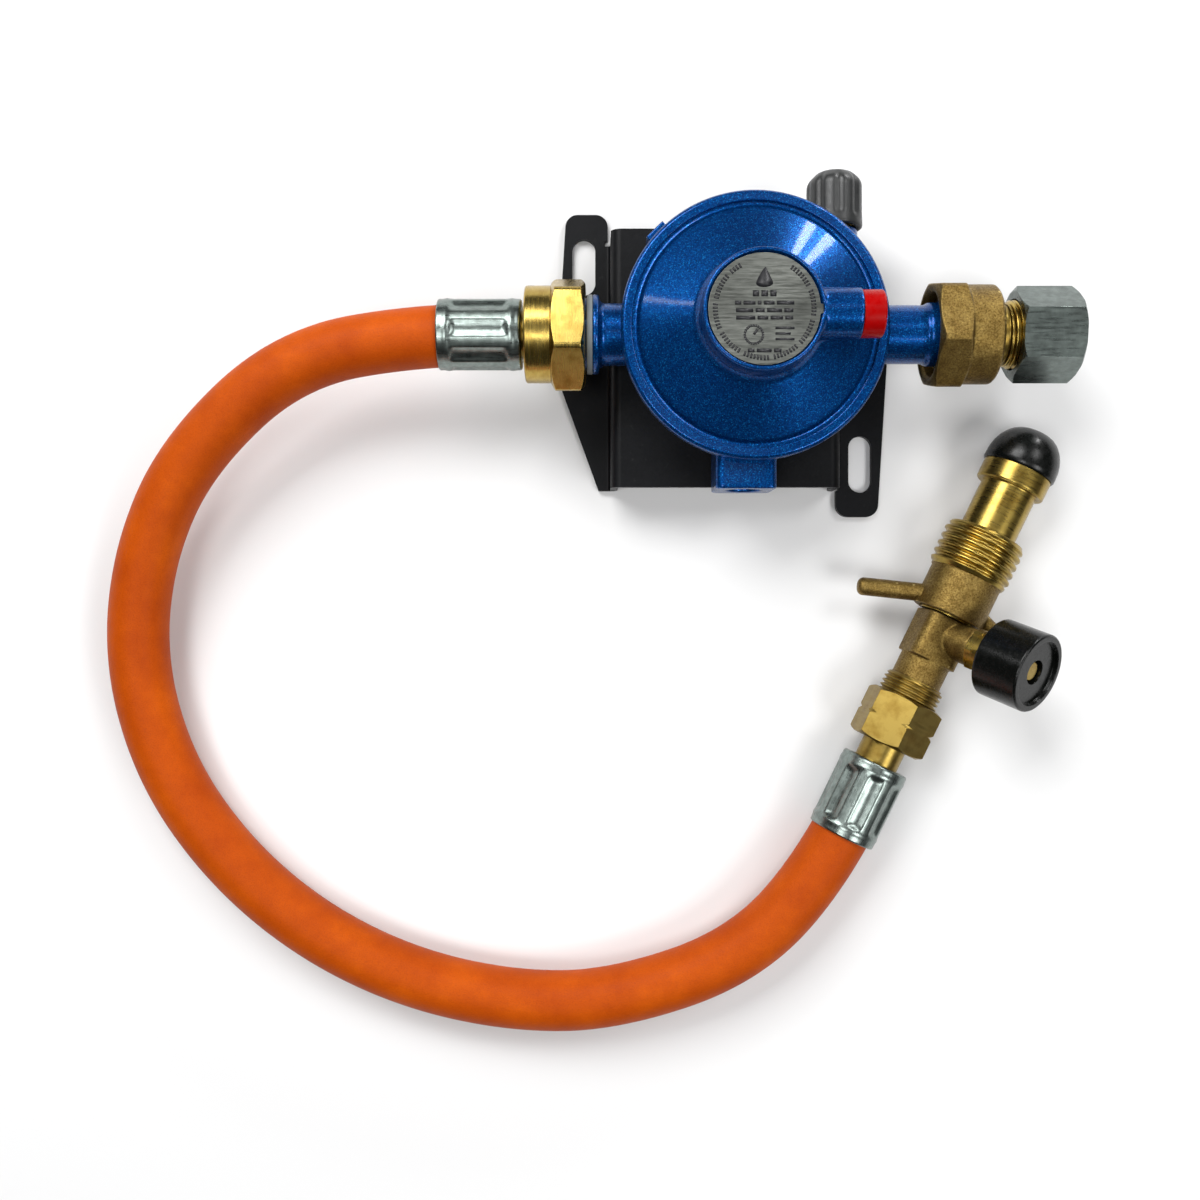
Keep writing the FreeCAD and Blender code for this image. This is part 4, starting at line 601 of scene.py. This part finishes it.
def ferrule(node, place, mouth_first):
    """A crimped sleeve: long pressed flutes between two plain round ends."""
    flutes = 8
    flute_depth = 0.75 * MM
    flute_half_length = 7.6 * MM
    neck = 6.2 * MM
    wall = 1.2 * MM
    start, end = span(node, place)
    centre = (start + end) / 2
    outside = reach(node, place)
    inside = HOSE_DIAMETER / 2 + 0.02 * MM
    mouth, cap = (start, end) if mouth_first else (end, start)
    inner_cap = cap - wall if mouth_first else cap + wall
    corners = [(inside, mouth), (outside, mouth), (outside, cap), (neck, cap),
               (neck, inner_cap), (inside, inner_cap)]
    outline = rounded_outline(corners, 0.7 * MM)
    outline = finer(outline, 0.35 * MM, start, end)

    def fluted(angle, radius, station):
        if radius < outside - 0.05 * MM:
            return radius
        along = abs(station - centre) / flute_half_length
        press = max(0.0, 1.0 - max(0.0, along - 0.82) / 0.18) ** 0.6 if along < 1 else 0.0
        wave = 0.5 + 0.5 * math.cos(flutes * angle)
        groove = max(0.0, wave - 0.35) / 0.65
        lip = 0.18 * MM * math.exp(-((along - 1.12) / 0.09) ** 2)
        return radius + lip - flute_depth * press * groove ** 0.7

    mesh = revolved(node + "_crimped", outline, place, 128, fluted)
    return new_piece(node + "_crimped", mesh, zinc_plate(node + "_zinc", 0.85, place),
                     "regulator", (node,), crease=40)


def left_hand_notches(piece, place, at, radius, depth):
    """Cut a notch in the middle of each corner of a nut, the mark of a left-hand thread."""
    outline = [Vector((radius, at)), Vector((radius + depth, at - depth * 0.9)),
               Vector((radius + depth, at + depth * 0.9))]
    tool = bpy.data.objects.new("notch_tool", revolved("notch_tool", outline, place, 72))
    bpy.context.scene.collection.objects.link(tool)
    piece.modifiers.clear()
    modifier = piece.modifiers.new("notches", "BOOLEAN")
    modifier.operation = "DIFFERENCE"
    modifier.object = tool
    modifier.solver = "EXACT"
    done = bpy.data.meshes.new_from_object(
        piece.evaluated_get(bpy.context.evaluated_depsgraph_get()))
    piece.modifiers.clear()
    piece.data = done
    done.set_sharp_from_angle(angle=math.radians(32))
    flat_faces_stay_flat(piece)
    bpy.data.objects.remove(tool)


def nose_seal(material):
    """The bullet-shaped rubber nose, with a softly rounded shoulder and a small mouth."""
    start, end = span("pol_nose_seal", CONNECTOR)
    base = reach("pol_nose_seal", CONNECTOR)
    long = end - start
    outside = [(base - 0.35 * MM, start), (base, start + 0.5 * MM), (base, start + 1.7 * MM)]
    steps = 18
    for step in range(1, steps + 1):
        share = step / steps
        station = start + 1.7 * MM + (long - 1.7 * MM) * math.sin(share * math.pi / 2)
        outside.append((3.0 * MM + (base - 3.0 * MM) * math.cos(share * math.pi / 2) ** 1.05,
                        station))
    inside = [(2.6 * MM, end - 0.6 * MM), (2.6 * MM, start)]
    outline = [Vector(p) for p in outside + inside]
    mesh = revolved("nose_seal", outline, CONNECTOR)
    return new_piece("nose_seal", mesh, material, "regulator",
                     ("pol_nose_seal",), crease=45)


def test_cap(material):
    """A ribbed plastic cap over the test point."""
    start, end = span("test_cap", TEST_POINT)
    outside = reach("test_cap", TEST_POINT)
    inside = outside - 2.1 * MM
    corners = [(inside, start), (outside, start), (outside, end - 2.8 * MM),
               (outside - 2.9 * MM, end), (0, end), (0, end - 3 * MM),
               (inside, end - 3 * MM)]
    outline = finer(rounded_outline(corners, 1.6 * MM, 5), 0.5 * MM, start, end)

    def ribbed(angle, radius, station):
        if radius < inside + 0.3 * MM:
            return radius
        wave = 0.5 + 0.5 * math.cos(9 * angle)
        fade = min(1.0, max(0.0, (station - start - 2.2 * MM) / (1.2 * MM)))
        return radius - 0.45 * MM * wave ** 3 * fade * (radius / outside) ** 3

    mesh = revolved("test_cap_ribbed", outline, TEST_POINT, 168, ribbed)
    return new_piece("test_cap_ribbed", mesh, material, "point_cap",
                     ("test_cap",), crease=40)


def flat_print(name, polygons, height, material):
    """Thin printed shapes on the label, each a polygon in the label's own millimetres."""
    thick = 0.02 * MM
    vertices, faces = [], []
    for polygon in polygons:
        ring = [Vector((x * MM, y * MM, 0)) for x, y in polygon]
        first = len(vertices)
        count = len(ring)
        for level in (height, height + thick):
            vertices += [REGULATOR @ Vector((p.x, p.y, level)) for p in ring]
        for tri in tessellate_polygon([ring]):
            faces.append(tuple(first + count + i for i in tri))
        for i in range(count):
            after = (i + 1) % count
            faces.append((first + i, first + after, first + count + after,
                          first + count + i))
    mesh = mesh_of(name, vertices, faces)
    tidy = bmesh.new()
    tidy.from_mesh(mesh)
    bmesh.ops.recalc_face_normals(tidy, faces=tidy.faces)
    tidy.to_mesh(mesh)
    tidy.free()
    return new_piece(name, mesh, material, "regulator", crease=0)


def bar(x, y, long, thick):
    return [(x, y), (x + long, y), (x + long, y + thick), (x, y + thick)]


def flame(x, y, size):
    """A plain flame: a leaning drop with a pointed tip."""
    points = []
    steps = 28
    for step in range(steps):
        angle = 2 * math.pi * step / steps
        lean = 0.22 * math.sin(angle) ** 3
        width = math.cos(angle) * (0.5 - 0.34 * math.sin(angle)) + lean * 0.3
        tall = math.sin(angle) * (0.72 if math.sin(angle) < 0 else 1.15)
        points.append((x + size * width, y + size * tall * 0.75))
    return points


def label_print(material):
    """A generic print: a flame, plain bars where the wording was, and a dial of ticks."""
    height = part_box("label_disc")[1].z + 0.01 * MM
    marks = [flame(0, 7.0, 3.5)]
    rows = [(2.9, 1.5, (1.5, 1.6, 1.5)), (0.9, 0.95, (1.5, 2.9, 0.9, 2.6, 4.2)),
            (-0.9, 0.95, (4.2, 2.2, 3.6, 2.2)), (-2.7, 0.95, (4.6, 2.6, 3.0, 1.9)),
            (-10.6, 0.95, (1.6, 3.6, 1.8))]
    for y, thick, words in rows:
        gap = 0.55
        x = -(sum(words) + gap * (len(words) - 1)) / 2
        for long in words:
            marks.append(bar(x, y, long, thick))
            x += long + gap
    for row in range(3):
        marks.append(bar(2.6, -5.0 - row * 1.35, 4.6 - 0.9 * (row % 2), 0.6))
    marks += ring_ticks(-2.6, -6.3, 2.5)
    for tick in range(76):
        if tick % 9 == 4:
            continue
        angle = math.radians(120 + 300 * tick / 76)
        marks.append(tick_mark(0, 0, angle, 11.3, 12.5, 0.5))
    return flat_print("label_print", marks, height, material)


def tick_mark(x, y, angle, near, far, wide):
    along = (math.cos(angle), math.sin(angle))
    aside = (-along[1] * wide / 2, along[0] * wide / 2)
    return [(x + along[0] * near - aside[0], y + along[1] * near - aside[1]),
            (x + along[0] * far - aside[0], y + along[1] * far - aside[1]),
            (x + along[0] * far + aside[0], y + along[1] * far + aside[1]),
            (x + along[0] * near + aside[0], y + along[1] * near + aside[1])]


def ring_ticks(x, y, radius):
    """A small dial: a ring drawn as short arcs, with a needle."""
    marks = []
    count = 24
    for i in range(count):
        angle = 2 * math.pi * i / count
        marks.append(tick_mark(x, y, angle, radius - 0.6, radius, 0.5))
    marks.append(tick_mark(x, y, math.radians(55), 0.0, radius - 0.9, 0.6))
    return marks


def dress_hidden(materials):
    """The parts inside keep their CAD shapes and get the material that their slot names."""
    slots = {s["node"]: s["material_slot"] for s in frame["record"]["subparts"]}
    for node, piece in frame["nodes"].items():
        if not piece.hide_render:
            piece.data.materials.clear()
            piece.data.materials.append(materials[slots[node]])


# ---------------------------------------------------------------- setting

def floor():
    mesh = mesh_of("floor", [(-3, -3, -0.0002), (3, -3, -0.0002), (3, 3, -0.0002),
                             (-3, 3, -0.0002)], [(0, 1, 2, 3)])
    paint = Paint("pale_floor", (0.81, 0.81, 0.81), 0.0, 0.9)
    paint.color(paint.ramp(paint.noise(0.6, 2.0), [
        (0.3, (0.80, 0.80, 0.80)), (0.7, (0.82, 0.82, 0.82))]))
    mesh.materials.append(paint.material)
    ground = bpy.data.objects.new("floor", mesh)
    bpy.context.scene.collection.objects.link(ground)


def softbox(name, azimuth, elevation, distance, wide, tall, power):
    """An area light aimed at the regulator; azimuth 0 is +X, and 90 is +Y."""
    lamp = bpy.data.lights.new(name, "AREA")
    lamp.shape = "RECTANGLE"
    lamp.size = wide
    lamp.size_y = tall
    lamp.energy = power
    holder = bpy.data.objects.new(name, lamp)
    a, e = math.radians(azimuth), math.radians(elevation)
    way = Vector((math.cos(a) * math.cos(e), math.sin(a) * math.cos(e), math.sin(e)))
    holder.location = REGULATOR_AXIS + Vector((0, 0, 0.04)) + way * distance
    holder.rotation_mode = "QUATERNION"
    holder.rotation_quaternion = way.to_track_quat("Z", "Y")
    holder.visible_camera = False
    bpy.context.scene.collection.objects.link(holder)


def lighting():
    """A dim world, large soft lights all round, and small ones for the streaks on the dome."""
    world = bpy.data.worlds.new("studio")
    bpy.context.scene.world = world
    world.use_nodes = True
    background = world.node_tree.nodes["Background"]
    background.inputs["Color"].default_value = (0.93, 0.96, 1, 1)
    background.inputs["Strength"].default_value = 0.04
    softbox("key", 125, 48, 1.0, 0.6, 0.5, 9.0)
    softbox("fill_right", 320, 50, 1.2, 0.5, 0.4, 5.5)
    softbox("fill_left", 218, 68, 1.2, 0.4, 0.4, 4.2)
    softbox("fill_back", 36, 50, 1.2, 0.4, 0.4, 3.5)
    softbox("window_left", 61, 13, 0.9, 0.06, 0.2, 1.5)
    softbox("window_right", 52, 13, 0.9, 0.06, 0.2, 1.5)
    softbox("strip", 153, 28, 0.9, 0.05, 0.25, 0.5)
    softbox("overhead", 62, 76, 1.3, 0.2, 0.8, 0.3)
    bpy.context.scene.view_settings.view_transform = "Standard"
    bpy.context.scene.view_settings.look = "None"


# ---------------------------------------------------------------- build

camera()
hose_piece = hose()
blue = blue_paint()
rough_brass = cast_brass()
bright_line = turned_brass("bright_brass_line", BRIGHT_BRASS, 0.24, OUTLET)
satin_line = turned_brass("satin_brass_line", SATIN_BRASS, 0.34, OUTLET)
bright_stem = turned_brass("bright_brass_stem", STEM_BRASS, 0.28, CONNECTOR)
satin_stem = turned_brass("satin_brass_stem", SATIN_BRASS, 0.34, CONNECTOR)
side_brass = turned_brass("side_brass", STEM_BRASS, 0.28, SIDE_PORT)
zinc = zinc_plate("zinc_nut", 0.6, OUTLET)
plain_steel = steel()
coat = powder_coat()
label_metal = brushed_aluminium()
red = moulded("red_plastic", (0.36, 0.0004, 0.0005), 0.28, Specular_IOR_Level=0.12)
cap_plastic = moulded("cap_plastic", (0.020, 0.021, 0.021), 0.36, 0.015)
knob_plastic = moulded("knob_plastic", (0.0025, 0.003, 0.0025), 0.24, 0.002,
                       Specular_IOR_Level=0.3)
white_plastic = moulded("acetal", (0.68, 0.68, 0.64), 0.4)
grey_rubber = moulded("grey_seal", (0.16, 0.18, 0.19), 0.5, 0.02)
black_rubber = moulded("black_rubber", (0.0025, 0.003, 0.0025), 0.27, 0.002,
                       Specular_IOR_Level=0.3)
dull_rubber = moulded("diaphragm_rubber", (0.03, 0.03, 0.033), 0.6, 0.03)
ink = moulded("label_ink", (0.012, 0.012, 0.014), 0.45)
bronze = turned_brass("sintered_bronze", (0.50, 0.32, 0.16), 0.5, OUTLET)

MATERIALS = {
    "body_blue": blue, "ring_blue": blue, "cast_brass": rough_brass,
    "turned_brass": bright_line, "steel_plated": zinc, "spring_steel": plain_steel,
    "stem_steel": plain_steel, "bracket_black": coat, "label_aluminium": label_metal,
    "plug_red": red, "cap_black": cap_plastic, "knob_black": knob_plastic,
    "lever_plastic": white_plastic, "seal_grey": grey_rubber, "seal_black": black_rubber,
    "diaphragm_rubber": dull_rubber, "filter_bronze": bronze,
}


def regulator_pieces():
    """The casting and its cover, ring, label, plugs and cap, and the bracket."""
    cast("regulator_body", blue, 0.45,
         necked=[under_screw(OUTLET, BODY_SCREW, after=0)])
    cast("regulator_cover", blue, 0.4)
    machined("crimp_ring", blue, 0.35)
    machined("mounting_bracket", coat, 0.28)
    machined("label_disc", label_metal, 0.12)
    label_print(ink)
    machined("vent_plug", red, 0.7)
    machined("drain_plug", zinc, 0.2)
    test_cap(cap_plastic)


def inlet_pieces():
    machined("inlet_seal", grey_rubber, 0.35)
    machined("inlet_nut", bright_line, 0.3, "hose_nut")
    machined("inlet_tail", satin_line, 0.15)
    ferrule("ferrule_inlet", INLET, False)


def outlet_pieces():
    cast("outlet_union_nut", rough_brass, 0.28, "union_nut")
    thread("body_thread", OUTLET, BODY_SCREW, satin_line)
    cast("outlet_tail", satin_line, 0.22, smooth=2,
         necked=[under_screw(OUTLET, TAIL_SCREW)])
    thread("tail_thread", OUTLET, TAIL_SCREW, bright_line)
    machined("compression_nut", zinc, 0.3, "pipe_nut")


def left_hand_nut():
    nut = machined("connector_nut", satin_stem, 0.25, "left_hand_nut")
    low, high = span("connector_nut", CONNECTOR)
    left_hand_notches(nut, CONNECTOR, (low + high) / 2, 10.05 * MM, 1.5 * MM)
    return nut


def connector_pieces():
    """Everything past the hose, in order from its ferrule."""
    from_hose = span("ferrule_connector", CONNECTOR)[0]
    return [
        ferrule("ferrule_connector", CONNECTOR, True),
        machined("connector_tail", satin_stem, 0.2),
        left_hand_nut(),
        cast("valve_body", rough_brass, 0.24, smooth=5,
             necked=[under_screw(CONNECTOR, VALVE_SCREW, from_hose)]),
        thread("valve_thread", CONNECTOR, VALVE_SCREW, satin_stem, base=from_hose,
               hand=LEFT_HAND),
        cast("pol_nut", rough_brass, 0.24, "cylinder_nut", smooth=5,
             necked=[under_screw(CONNECTOR, CYLINDER_SCREW, from_hose, before=0.5)]),
        thread("cylinder_thread", CONNECTOR, CYLINDER_SCREW, bright_stem, "cylinder_nut",
               from_hose, LEFT_HAND),
        machined("pol_spigot", bright_stem, 0.35),
        nose_seal(black_rubber),
        machined("reset_bonnet", side_brass, 0.25),
        machined("reset_knob", knob_plastic, 1.0, "reset_button"),
        machined("reset_screw", side_brass, 0.25, "reset_button"),
    ]


regulator_pieces()
inlet_pieces()
outlet_pieces()
far_pieces = connector_pieces()
dress_hidden(MATERIALS)
far_pieces += [frame["nodes"][n] for n in (
    "reset_stem", "reset_spring", "flow_poppet", "flow_spring")]

floor()
lighting()
